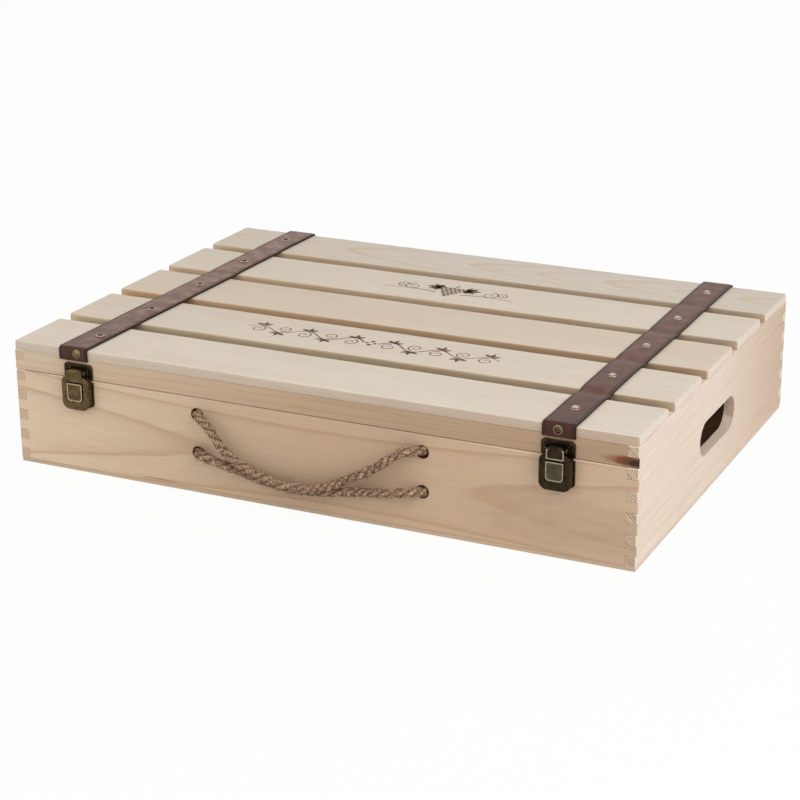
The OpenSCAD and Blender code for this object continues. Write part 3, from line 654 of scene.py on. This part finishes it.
# The boards: what each is made of, where its log's middle passes, and how that leans.
BOARDS = {
    "front_board": ({**TAN, "bow": (0.0, -0.115, 0.0), "uneven": 0.0, "knots": FRONT_MARKS_AND_PAINTED_LIGHT,
                     "holes": HOLE_SHADES}, (0.018, -0.1192, 0.037), (0.0, 0.5)),
    "back_board": ({**TAN, "bow": (0.0, 0.14, 0.0), "uneven": 0.5}, (-0.04, 0.1185, 0.045), (0.2, -0.6)),
    "left_board": (LEFT_CREAM, (-0.275, 0.0, 0.05), (0.5, 0.4)),
    "right_board": (CREAM, (0.44, 0.0, 0.24), (0.2, 0.3)),
    "lid_front_rail": ({**RAIL, "knots": RAIL_KNOTS}, (0.0, -0.15, 0.02), (0.5, 0.5)),
    "lid_back_rail": (RAIL, (0.0, 0.15, 0.03), (-0.5, 0.8)),
    "lid_left_rail": (LEFT_CREAM, (-0.28, 0.0, 0.05), (0.3, 0.4)),
    "lid_right_rail": (CREAM, (0.43, 0.0, 0.27), (0.3, 0.2)),
    "body_rest": (SHADED_RAW, (0.0, 0.02, 0.08), (1.0, 0.0)),
    "neck_rest": (SHADED_RAW, (0.0, -0.15, 0.09), (1.0, 0.0)),
}

for board, (wood, pith, tilt) in BOARDS.items():
    short = board.replace("lid_", "").replace("_board", "")
    dress(board, pine(f"pine_{short}", **{**wood, "pith": pith, "tilt": tilt}))
dress("bottom_panel", plywood("plywood_bottom"))


# ---- Slats ----

SLAT_CORNER = 2.5 * MM
SLAT_WORN = 1.6 * MM
SLAT_LOWER = 0.4 * MM


def slat_surface(number):
    """A slat: a rectangle with round corners, carried along X. The upper corners' radius drifts by
    a few slow waves. Near each end the outline draws in as a quarter circle does, sideways by the
    corner seen from above and downwards by the worn edge."""
    centre_y = (number - (SLATS + 1) / 2) * SLAT_PITCH
    quarter = np.linspace(0, 1, 9) * math.pi / 2
    x_end = HALF_W - SLAT_CORNER * (1 - np.sin(quarter))
    x = np.concatenate([-x_end[::-1], np.linspace(-x_end[0], x_end[0], 127)[1:-1], x_end])[:, None]
    inset = {}
    for key, radius in (("side", SLAT_CORNER), ("top", SLAT_WORN)):
        beyond = np.clip(np.abs(x) - (HALF_W - radius), 0, radius)
        inset[key] = radius - np.sqrt(radius ** 2 - beyond ** 2)
    drift = 1 + 0.16 * np.sin(37 * x + 2 * number) + 0.12 * np.sin(91 * x + 5 * number)
    half = SLAT_W / 2
    turn = np.linspace(0, 1, 7) * math.pi / 2
    corners = []
    for sign_y, sign_z, start in ((1, -1, -0.5), (1, 1, 0.0), (-1, 1, 0.5), (-1, -1, 1.0)):
        rounding = SLAT_WORN * drift if sign_z > 0 else np.full_like(x, SLAT_LOWER)
        corner_z = SLAT_TOP - rounding if sign_z > 0 else RAIL_TOP + rounding
        middle = np.concatenate([sign_y * (half - rounding), corner_z], axis=1)
        corners.append(middle[:, None] + rounding[..., None] * heading(start * math.pi + turn))
    ring = np.concatenate(corners, axis=1)
    y = ring[..., 0] * (1 - inset["side"] / half) + centre_y
    z = RAIL_TOP + (ring[..., 1] - RAIL_TOP) * (1 - inset["top"] / (SLAT_TOP - RAIL_TOP))
    return stacked(np.broadcast_to(x, y.shape), y, z)


SLAT_LOOKS = [
    dict(pith=(0.0, -0.20, 0.03), tilt=(0.4, 0.6), ring=2.2 * MM, tones=[(228, 215, 198), (228, 216, 198)],
         edge=[(206, 192, 172), (190, 167, 146)]),
    dict(pith=(0.0, -0.02, 0.04), tilt=(-0.5, 0.8), ring=2.4 * MM, edge=[(204, 182, 150), (184, 160, 132)]),
    dict(pith=(0.0, 0.03, 0.03), tilt=(0.8, 0.4), ring=2.0 * MM, tones=[(220, 204, 183), (224, 207, 187)],
         warm=(214, 190, 162), edge=[(208, 170, 132), (178, 148, 118)]),
    dict(pith=(0.0, 0.13, 0.02), tilt=(-0.4, 1.0), ring=2.3 * MM),
    dict(pith=(0.0, 0.152, SLAT_TOP - 60.2 * MM), tilt=(0.3, 3.36), ring=3.4 * MM, rings=0.6, uneven=0.0,
         thin=2.0, wave=2 * MM, late=(206, 178, 134), tones=[(218, 205, 189), (216, 206, 192)],
         edge=[(206, 182, 152), (186, 166, 142)]),
]


for number, look in enumerate(SLAT_LOOKS, 1):
    name = f"pine_slat_{number}"
    piece(name, [slat_surface(number)[None]], "lid", [pine(name, **{**PALE, **look})], 60,
          [f"slat_{number}"], "pine_slat")


# ---- Printed ornament ----

INK_DEEP = 0.05 * MM
INK_RISE = 0.03 * MM
VINE_LENGTH = 210.0
VINE_START = 6.0
CRESTS = 5
LEAF_BREADTH = 0.42


def flat_bands(lines, widths):
    """Thin flat bands, each a rectangle section carried along a line on the slats' top. lines is
    (bands, points, 2) and widths (bands, points), both in millimetres."""
    ahead = unit(np.gradient(lines, axis=1))
    side = stacked(-ahead[..., 1], ahead[..., 0]) * widths[..., None] / 2
    edges = np.stack([lines + side, lines - side, lines - side, lines + side], axis=2) * MM
    height = SLAT_TOP + np.array([INK_RISE, INK_RISE, INK_RISE - INK_DEEP, INK_RISE - INK_DEEP])
    return stacked(edges[..., 0], edges[..., 1], np.broadcast_to(height, edges.shape[:3]))


def flat_dots(centres, radii):
    """Thin flat discs, as tubes of two rings."""
    ring = (centres[:, None] + radii[:, None, None] * heading(ring_angles(20)))[:, None] * MM
    level = SLAT_TOP + np.array([INK_RISE - INK_DEEP, INK_RISE])[None, :, None]
    return stacked(*np.broadcast_arrays(ring[..., 0], ring[..., 1], level))


def spirals(centres, radii, starts, turns, hands):
    """Tendrils: lines that wind inwards, r = R (1 - t)^0.7, ever thinner."""
    t = np.linspace(0, 1, 40)[None, :]
    angle = starts[:, None] + hands[:, None] * 2 * math.pi * turns * t
    reach = radii[:, None] * (1 - t) ** 0.7 + 0.5
    lines = centres[:, None] + reach[..., None] * heading(angle)
    return flat_bands(lines, np.broadcast_to(1.15 - 0.5 * t, angle.shape))


def leaves(bases, angles, lengths):
    """Pointed leaves: bands as wide as sin(pi t^0.8) allows, bent a little to one side."""
    t = np.linspace(0.02, 1, 16)[None, :]
    bend = angles[:, None] + 0.5 * (t - 0.5)
    lines = bases[:, None] + np.cumsum(heading(bend) * (lengths / 16)[:, None, None], axis=1)
    return flat_bands(lines, LEAF_BREADTH * lengths[:, None] * np.sin(math.pi * t ** 0.8) + 0.12)


def vine(centre_y):
    """A vine that runs both ways from the middle: two mirrored waves y = a sin(k x) that flatten
    towards their ends, with a tendril and three leaves at every crest."""
    t = np.linspace(0, 1, 120)
    run = VINE_LENGTH / 2 - VINE_START
    y = 7.0 * (1 - 0.35 * t) * np.sin(math.pi * CRESTS * t)
    crest_x = VINE_START + run * (np.arange(CRESTS) + 0.5) / CRESTS
    up = np.where(np.arange(CRESTS) % 2 == 0, 1.0, -1.0)
    blocks = []
    for side in (LEFT, RIGHT):
        stem = stacked(side * (VINE_START + run * t), centre_y + y)[None]
        blocks.append(flat_bands(stem, (1.5 - 0.7 * t)[None]))
        middle = stacked(side * crest_x, centre_y - up * 2.8)
        blocks.append(spirals(middle, np.full(CRESTS, 5.6), up * math.pi / 2, 1.3, side * up))
        tip = stacked(side * crest_x, centre_y + up * 6.2)
        for lean in (0.35, 1.5, 2.5):
            angles = up * lean if side > 0 else math.pi - up * lean
            blocks.append(leaves(tip, angles, np.full(CRESTS, 8.0)))
    dots = np.array([[-3.4, 0.0], [3.4, 0.0], [0.0, 4.0], [0.0, -4.0]]) + [0.0, centre_y]
    blocks.append(flat_dots(dots, np.array([1.5, 1.5, 1.9, 1.9])))
    return blocks


def grape_bunch(centre_y):
    """A hanging bunch of grapes between two vine leaves and two short scrolls."""
    rows = [5, 6, 5, 4, 3, 2, 1]
    grapes = np.array([((place - (count - 1) / 2) * 3.9, 6.5 - 3.5 * row)
                       for row, count in enumerate(rows) for place in range(count)])
    blocks = [flat_dots(grapes + [0.0, centre_y], np.full(len(grapes), 1.65))]
    stalk = stacked(np.linspace(0, 1.5, 20), centre_y + np.linspace(8, 15, 20))[None]
    blocks.append(flat_bands(stalk, np.full((1, 20), 1.4)))
    fan = np.radians([-62, -28, 5, 38, 72])
    lengths = np.array([9.0, 12.0, 14.0, 12.0, 9.0])
    t = np.linspace(0, 1, 30)
    for side in (LEFT, RIGHT):
        base = np.tile([side * 10.5, centre_y + 5.0], (5, 1))
        blocks.append(leaves(base, fan if side > 0 else math.pi - fan, lengths))
        scroll = np.array([[side * 34.0, centre_y + 0.5], [side * 43.0, centre_y + 3.5]])
        blocks.append(spirals(scroll, np.array([7.0, 5.0]), np.array([math.pi / 2, -math.pi / 2]),
                              1.4, side * np.array([-1.0, 1.0])))
        sweep = stacked(side * (11.0 + 46.0 * t), centre_y - 8.0 + 3.0 * np.sin(math.pi * t))
        blocks.append(flat_bands(sweep[None], (1.4 - 0.8 * t)[None]))
    return blocks


# Two brown prints that have sunk unevenly into the lid: a vine along the second slat and a bunch
# of grapes on the fourth.
ink, place, shader = new_material("brown_print")
worn = ranged(grainy(place["Object"], 300.0, 1500.0), 0.35, 0.65)
feed(shader, {"Base Color": mixed(worn, (72, 47, 35), (114, 82, 64)),
              "Roughness": ranged(worn, 0.0, 1.0, 0.6, 0.75)})
piece("vine_print", vine(-SLAT_PITCH / MM), "lid", [ink], 30, (), "pine_slat")
piece("grape_print", grape_bunch(SLAT_PITCH / MM), "lid", [ink], 30, (), "pine_slat")


# ---- Leather straps ----

STRAP_SAGS = {LEFT: (0.3 * MM, 0.25 * MM, 0.4 * MM, 0.3 * MM),
              RIGHT: (1.6 * MM, 0.9 * MM, 0.8 * MM, 0.7 * MM)}
STRAP_LEAN = {LEFT: -3.8 * MM, RIGHT: 0.0}
STRAP_CUT = 1.6 * MM
STRAP_CORNER = 2.2 * MM
STRAP_OVAL = 0.32
CREASE_IN = 2.0 * MM
CREASE_DEPTH = 0.3 * MM
RIVET_DENT = 0.25 * MM
SWAY = 0.25 * MM


def strap_line(sags):
    """The middle of a strap's thickness in Y and Z, from the front drop over the slats to the
    back drop, both cut a little short. Between two slats it sags by a smooth bump exp(-(y / w)^2)."""
    half = STRAP_T / 2
    corner_y = -HALF_D - half + STRAP_CORNER
    corner_z = SLAT_TOP + half - STRAP_CORNER
    drop = np.linspace(STRAP_END_Z + STRAP_CUT, corner_z, 8)
    turn = np.linspace(math.pi, math.pi / 2, 9)[1:-1]
    front = np.concatenate([stacked(np.full_like(drop, -HALF_D - half), drop),
                            [corner_y, corner_z] + STRAP_CORNER * heading(turn)])
    y = np.linspace(corner_y, -corner_y, 300)
    z = np.full_like(y, SLAT_TOP + half)
    for gap, sag in enumerate(sags):
        middle = (gap - 1.5) * SLAT_PITCH
        z = z - sag * np.exp(-((y - middle) / (7.0 * MM)) ** 2)
    return evenly(np.concatenate([front, stacked(y, z), front[::-1] * [-1, 1]]), count=380)


def rivet_spots():
    """Where the rivets of one strap stand, as Y and Z on its outer face."""
    top = [((n - 2) * SLAT_PITCH, STRAP_TOP) for n in range(SLATS)]
    return [(-HALF_D - STRAP_T, DROP_RIVET_Z)] + top + [(HALF_D + STRAP_T, DROP_RIVET_Z)]


def strap_surface(side):
    """A leather strip: a flat oval section carried along strap_line. Its face has a pressed crease
    near each edge, sinks a little round every rivet, and waves slightly between them; one strap
    leans outwards towards the front. Gives the points, the depth of the creases and the distance
    from the middle of the strip."""
    line, along = strap_line(STRAP_SAGS[side])
    ahead = unit(np.gradient(line, axis=0))
    turn = heading(ring_angles(96))
    x, thick = (np.sign(turn) * np.abs(turn) ** STRAP_OVAL * [STRAP_W / 2, STRAP_T / 2]).T
    upper = turn[:, 1] > 0
    crease = np.exp(-((np.abs(x) - (STRAP_W / 2 - CREASE_IN)) / (0.45 * MM)) ** 2) * upper
    near = 0.0
    for y, z in rivet_spots():
        distance = (line[:, 0] - y) ** 2 + (line[:, 1] - z) ** 2
        near = near + np.exp(-(distance[:, None] + x ** 2) / (5.0 * MM) ** 2)
    height = thick - CREASE_DEPTH * crease - RIVET_DENT * near * upper
    sway = side * SWAY * (np.sin(along * 31 + side) + 0.5 * np.sin(along * 83))
    forward = np.clip((HALF_D - line[:, 0]) / (2 * HALF_D), 0, 1)
    middle = side * STRAP_X + sway + STRAP_LEAN[side] * forward ** 1.5
    points = stacked(middle[:, None] + x, line[:, :1] - height * ahead[:, 1:],
                     line[:, 1:] + height * ahead[:, :1])
    edge = np.abs(x) / (STRAP_W / 2)
    return points, np.broadcast_to(crease, height.shape), np.broadcast_to(edge, height.shape)


def leather(name, deep, light):
    """Leather in two browns: a fine pebble and slow patches, dark in the creases and at the edges,
    a deep red brown past the lid's front and back as painted shade on the drops, and a little
    darker towards the front, which paints the sheen that grows towards the back."""
    material, place, shader = new_material(name)
    place = place["Object"]
    y = split(place)[1]
    pebble = linked("TexVoronoi", {"Vector": place, "Scale": 1100.0, "Detail": 1.0})["Distance"]
    patch = noise(place, 90, 4, 0.6)
    wrinkle = grainy(place, 60.0, 420.0, 3.0, 0.6)
    brown = mixed(ranged(patch, 0.35, 0.7), deep, light)
    brown = mixed(ranged(wrinkle, 0.55, 0.8, 0.0, 0.35), brown, (140, 110, 100))
    brown = mixed(ranged(noise(place, 1400, 3, 0.7), 0.52, 0.7, 0.0, 0.4), brown, (58, 34, 29))
    # A little darker towards the front: painted sheen, as the leather shows more sheen towards the back.
    brown = scaled(brown, ranged(y, -HALF_D, 0.0, 0.72, 1.0))
    # Past the lid's front and back edges the leather turns a deep red brown: painted shade on the drops.
    dropped = ranged(absolute(y), HALF_D - 3 * MM, HALF_D + 0.5 * MM, 0.0, 0.85)
    brown = mixed(dropped, brown, (64, 32, 25))
    dark = maths("MAXIMUM", times(kept(material, "crease"), 0.75),
                 ranged(kept(material, "edge"), 0.88, 0.97))
    feed(shader, {"Base Color": mixed(dark, brown, (40, 22, 19)),
                  "Roughness": ranged(patch, 0.3, 0.7, 0.36, 0.5),
                  "Normal": bumped(maths("MULTIPLY_ADD", pebble, 0.5, wrinkle), 0.35, 0.25 * MM),
                  "Specular IOR Level": 0.12, "Coat Weight": 0.05, "Coat Roughness": 0.25})
    return material


for side, name, *browns in ((LEFT, "left", (114, 78, 64), (160, 130, 114)),
                            (RIGHT, "right", (92, 58, 46), (124, 91, 78))):
    points, crease, edge = strap_surface(side)
    piece(f"leather_{name}", [points[None]], "lid", [leather(f"{name}_leather", *browns)], 50,
          [f"{name}_strap"], "leather", crease=crease, edge=edge)


# ---- Metal ----

def make_patina():
    """Tarnish on an old casting: broad clouds, fine grain, and short scratches."""
    tree, given, result = new_group("metal_patina", ["Vector"], [], ["Cloud", "Grain", "Scratch"])
    place = given["Vector"]
    fine = vectors("MULTIPLY", place, (300.0, 300.0, 3200.0))
    feed(result, {"Cloud": ranged(noise(place, 260, 4, 0.6), 0.35, 0.68),
                  "Grain": noise(place, 2600, 3, 0.6),
                  "Scratch": ranged(noise(fine, 1.0, 2.0), 0.6, 0.72)})
    return tree


METAL_PATINA = make_patina()


def metal(name, deep, bright, rough=(0.3, 0.5), cover=0.7, ring=None):
    """Tarnished metal between a deep and a bright tone. With ring, a narrow band of that colour
    runs round a turned piece where its attribute rim is a little under 1."""
    material, place, shader = new_material(name)
    patina = linked("Group", {"Vector": place["Object"]}, node_tree=METAL_PATINA)
    colour = mixed(times(patina["Cloud"], cover), bright, deep)
    colour = mixed(times(patina["Scratch"], 0.35), colour, bright)
    # On most rivets this band is a painted highlight on the rim; round the right strap's bright-painted
    # domes it is dark.
    if ring:
        rim = kept(material, "rim")
        colour = mixed(times(ranged(rim, 0.66, 0.76), ranged(rim, 0.98, 0.9)), colour, ring)
    feed(shader, {"Base Color": colour,
                  "Roughness": ranged(patina["Cloud"], 0.0, 1.0, *rough, "LINEAR"),
                  "Normal": bumped(patina["Grain"], 0.25, 0.12 * MM),
                  "Metallic": 1.0})
    return material


BRASS = metal("antique_brass", (64, 50, 34), (108, 90, 62))
BRASS_WORN = metal("worn_brass", (138, 119, 88), (186, 168, 132), (0.25, 0.38), 0.5)
BRASS_DARK = metal("dark_brass", (44, 31, 25), (66, 50, 40))
BRONZE = metal("dark_bronze", (33, 26, 18), (58, 47, 34))
BRONZE_PAD = metal("bronze_pad", (66, 58, 46), (88, 78, 62))
BRONZE_WORN = metal("worn_bronze", (108, 100, 78), (162, 154, 128), (0.22, 0.34), 0.5)
# Rivet colours paint their light: the bright rings on the left strap's rivets and the right drop's rivet
# are painted highlights on the rims, and the right strap's bright domes are a painted highlight inside a
# dark rim.
LEFT_RIVET = metal("rivet_bronze", (62, 44, 36), (104, 84, 68), (0.25, 0.4), 0.6, (190, 174, 150))
RIGHT_RIVET = metal("rivet_painted_highlight", (128, 104, 92), (206, 184, 172), (0.2, 0.3), 0.5, (66, 44, 36))
DULL_RIVET = metal("rivet_brass", (96, 80, 54), (140, 122, 84))
BRIGHT_RIVET = metal("rivet_ringed", (58, 44, 34), (92, 74, 56), (0.2, 0.32), 0.6, (136, 118, 98))
STEEL = metal("zinc_steel", (120, 118, 112), (176, 176, 172), (0.3, 0.45), 0.5)

FLAT_REACH = 0.1 * MM
DISH_REACH = 0.6 * MM


def softened(name, node, body, width, metals, segments=2):
    """A copy of a metal node with its points merged, flat areas joined and edges bevelled. The
    bevels take the second, worn metal. With a third and a fourth, the foremost flat takes the
    third, flats dished a little way into it the fourth, and the sides and deeper faces keep the
    first, which on the keepers is darker: painted shade in their slots and along their sides."""
    shape = bmesh.new()
    shape.from_mesh(nodes[node].data)
    bmesh.ops.remove_doubles(shape, verts=shape.verts, dist=0.001 * MM)
    bmesh.ops.dissolve_limit(shape, angle_limit=math.radians(0.5), verts=shape.verts, edges=shape.edges)
    mesh = bpy.data.meshes.new(name)
    shape.to_mesh(mesh)
    shape.free()
    mesh.materials.clear()
    if len(metals) > 2:
        behind = read(mesh.polygons, "center")[:, 1] - read(mesh.vertices, "co")[:, 1].min()
        facing = read(mesh.polygons, "normal")[:, 1] < -0.9
        dished = facing & (behind > FLAT_REACH) & (behind < DISH_REACH)
        # Faces neither foremost nor dished keep the first metal; on the keepers it is darker, as painted
        # shade.
        kinds = np.where(facing & (behind < FLAT_REACH), 2, np.where(dished, 3, 0))
        mesh.polygons.foreach_set("material_index", kinds.astype(np.int32))
    made = on_body(name, mesh, metals, 32, body, [node])
    bevel = made.modifiers.new("worn edges", "BEVEL")
    bevel.width = width
    bevel.segments = segments
    bevel.limit_method = "ANGLE"
    bevel.angle_limit = math.radians(40)
    bevel.material = 1
    bevel.harden_normals = True


def make_latches():
    """Latch and hinge pieces with soft, worn edges: brass on the left, darker bronze on the right."""
    # On the keepers the first metal, darker than the pad, paints the shade of their sides and slots.
    kinds = {"left": ("antique_brass", (BRASS, BRASS_WORN),
                      (BRASS_DARK, BRASS_WORN, BRASS_WORN, BRASS)),
             "right": ("bronze", (BRONZE, BRONZE_WORN, BRONZE_WORN, BRONZE),
                       (BRONZE, BRONZE_WORN, BRONZE_WORN, BRONZE_PAD))}
    for side, (slot, cover, keeper) in kinds.items():
        softened(f"{side}_hasp_worn", f"{side}_hasp", f"{side}_hasp", 0.3 * MM, cover, 3)
        softened(f"{side}_plate_worn", f"{side}_hasp_plate", "lid", 0.22 * MM, keeper[:2])
        softened(f"{side}_keeper_worn", f"{side}_keeper", "box", 0.22 * MM, keeper)
        dress(f"{side}_hasp_pin", cover[0])
        for part in ("upper_hinge_leaf", "lower_hinge_leaf", "hinge_pin"):
            dress(f"{side}_{part}", BRASS)
    for part, look in {"keeper_screws": BRASS_DARK, "hasp_plate_screws": BRASS_DARK,
                       "lower_hinge_screws": BRASS, "upper_hinge_screws": BRASS,
                       "bottom_nails": STEEL}.items():
        dress(part, look)


make_latches()


RIVET_SUNK = 0.1 * MM


def rivet_caps(side):
    """Rivet caps: a profile from the dome's top down over a narrow groove to the rim, turned about
    the axis of every rivet of one strap. Gives the points and how far out each is, from 0 to 1."""
    radius = np.array([0.0, 0.12, 0.3, 0.5, 0.66, 0.76, 0.82, 0.9, 0.97, 1.0, 1.0, 0.9, 0.0])
    height = np.array([1.0, 0.98, 0.9, 0.72, 0.46, 0.28, 0.24, 0.25, 0.2, 0.1, -0.15, -0.2, -0.2])
    one = np.array([1.0, 0.0, 0.0])
    caps = []
    for y, z in rivet_spots():
        axis, two = np.array([[0.0, 0.0, 1.0], [0.0, 1.0, 0.0]])
        if z < SLAT_TOP:
            axis, two = np.array([[0.0, np.sign(y), 0.0], [0.0, 0.0, 1.0]])
        centre = np.array([side * STRAP_X, y, z]) - axis * RIVET_SUNK
        circle = heading(ring_angles(32)) @ np.array([one, two])
        caps.append(centre + radius[:, None, None] * RIVET_D / 2 * circle
                    + height[:, None, None] * RIVET_H * axis)
    caps = np.array(caps)
    return caps, np.broadcast_to(radius[None, :, None], caps.shape[:3])


# The rivets of both straps; those in the drops have their own metal.
for side, name, metals in ((LEFT, "left", [LEFT_RIVET, DULL_RIVET]),
                           (RIGHT, "right", [RIGHT_RIVET, BRIGHT_RIVET])):
    caps, rim = rivet_caps(side)
    made = piece(f"{name}_rivet_caps", [caps], "lid", metals, 35, [f"{name}_strap_rivets"],
                 "antique_brass", rim=rim)
    dropped = np.abs(read(made.data.polygons, "center")[:, 1]) > HALF_D
    made.data.polygons.foreach_set("material_index", dropped.astype(np.int32))


# ---- Floor and light ----

FLOOR_REACH = 6.0
FLOOR_LEVEL = -0.3 * MM
FLOOR_GLOW = 0.94
WHITE = (1.0, 1.0, 1.0, 1.0)
LAMP_TARGET = Vector((0.0, 0.0, 0.05))


def emptied(owner):
    """The node tree of a material or a world, without its nodes."""
    owner.use_nodes = True
    owner.node_tree.nodes.clear()
    return owner.node_tree


def seen_straight(tree):
    """1 for a ray from the camera or out of a gloss, and 0 for one that lights a surface."""
    path = add(tree, "LightPath")
    return maths("MAXIMUM", path["Is Camera Ray"],
                 maths("MAXIMUM", path["Is Glossy Ray"], path["Is Transmission Ray"]))


def make_floor():
    """A wide flat floor just clear of the box's underside. It is pale and takes the shadow; seen
    straight or in a gloss it glows white."""
    ground = bpy.data.materials.new("white_ground")
    tree = emptied(ground)
    matt = add(tree, "BsdfDiffuse", {"Color": (0.9, 0.9, 0.9, 1.0)})[0]
    glow = add(tree, "Emission", {"Color": WHITE, "Strength": 1.0})[0]
    mix = linked("MixShader", {0: times(seen_straight(tree), FLOOR_GLOW), 1: matt, 2: glow})[0]
    linked("OutputMaterial", {"Surface": mix})
    mesh = bpy.data.meshes.new("floor")
    mesh.from_pydata([(x * FLOOR_REACH, y * FLOOR_REACH, FLOOR_LEVEL)
                      for x, y in ((-1, -1), (1, -1), (1, 1), (-1, 1))], [], [(0, 1, 2, 3)])
    mesh.materials.append(ground)
    placed("floor", mesh)


def make_sky(strength):
    """A white surround, which lights the box with a plain even light of the given strength."""
    bpy.context.scene.world = bpy.data.worlds.new("studio")
    tree = emptied(bpy.context.scene.world)
    level = ranged(seen_straight(tree), 0.0, 1.0, strength, 1.0, "LINEAR")
    back = linked("Background", {"Color": WHITE, "Strength": level})[0]
    linked("OutputWorld", {"Surface": back})


def make_lamp(name, spot, size, power):
    """A square soft lamp that points at the box."""
    lamp = bpy.data.lights.new(name, "AREA")
    lamp.size = size
    lamp.energy = power
    aim = (Vector(spot) - LAMP_TARGET).to_track_quat("Z", "Y")
    placed(name, lamp).matrix_world = Matrix.Translation(spot) @ aim.to_matrix().to_4x4()


make_floor()
make_sky(0.62)
make_lamp("key_lamp", (1.7, -0.9, 1.5), 1.4, 22.0)
make_lamp("front_lamp", (-0.8, -2.2, 1.3), 1.6, 10.0)

bpy.context.scene.view_settings.view_transform = "Standard"
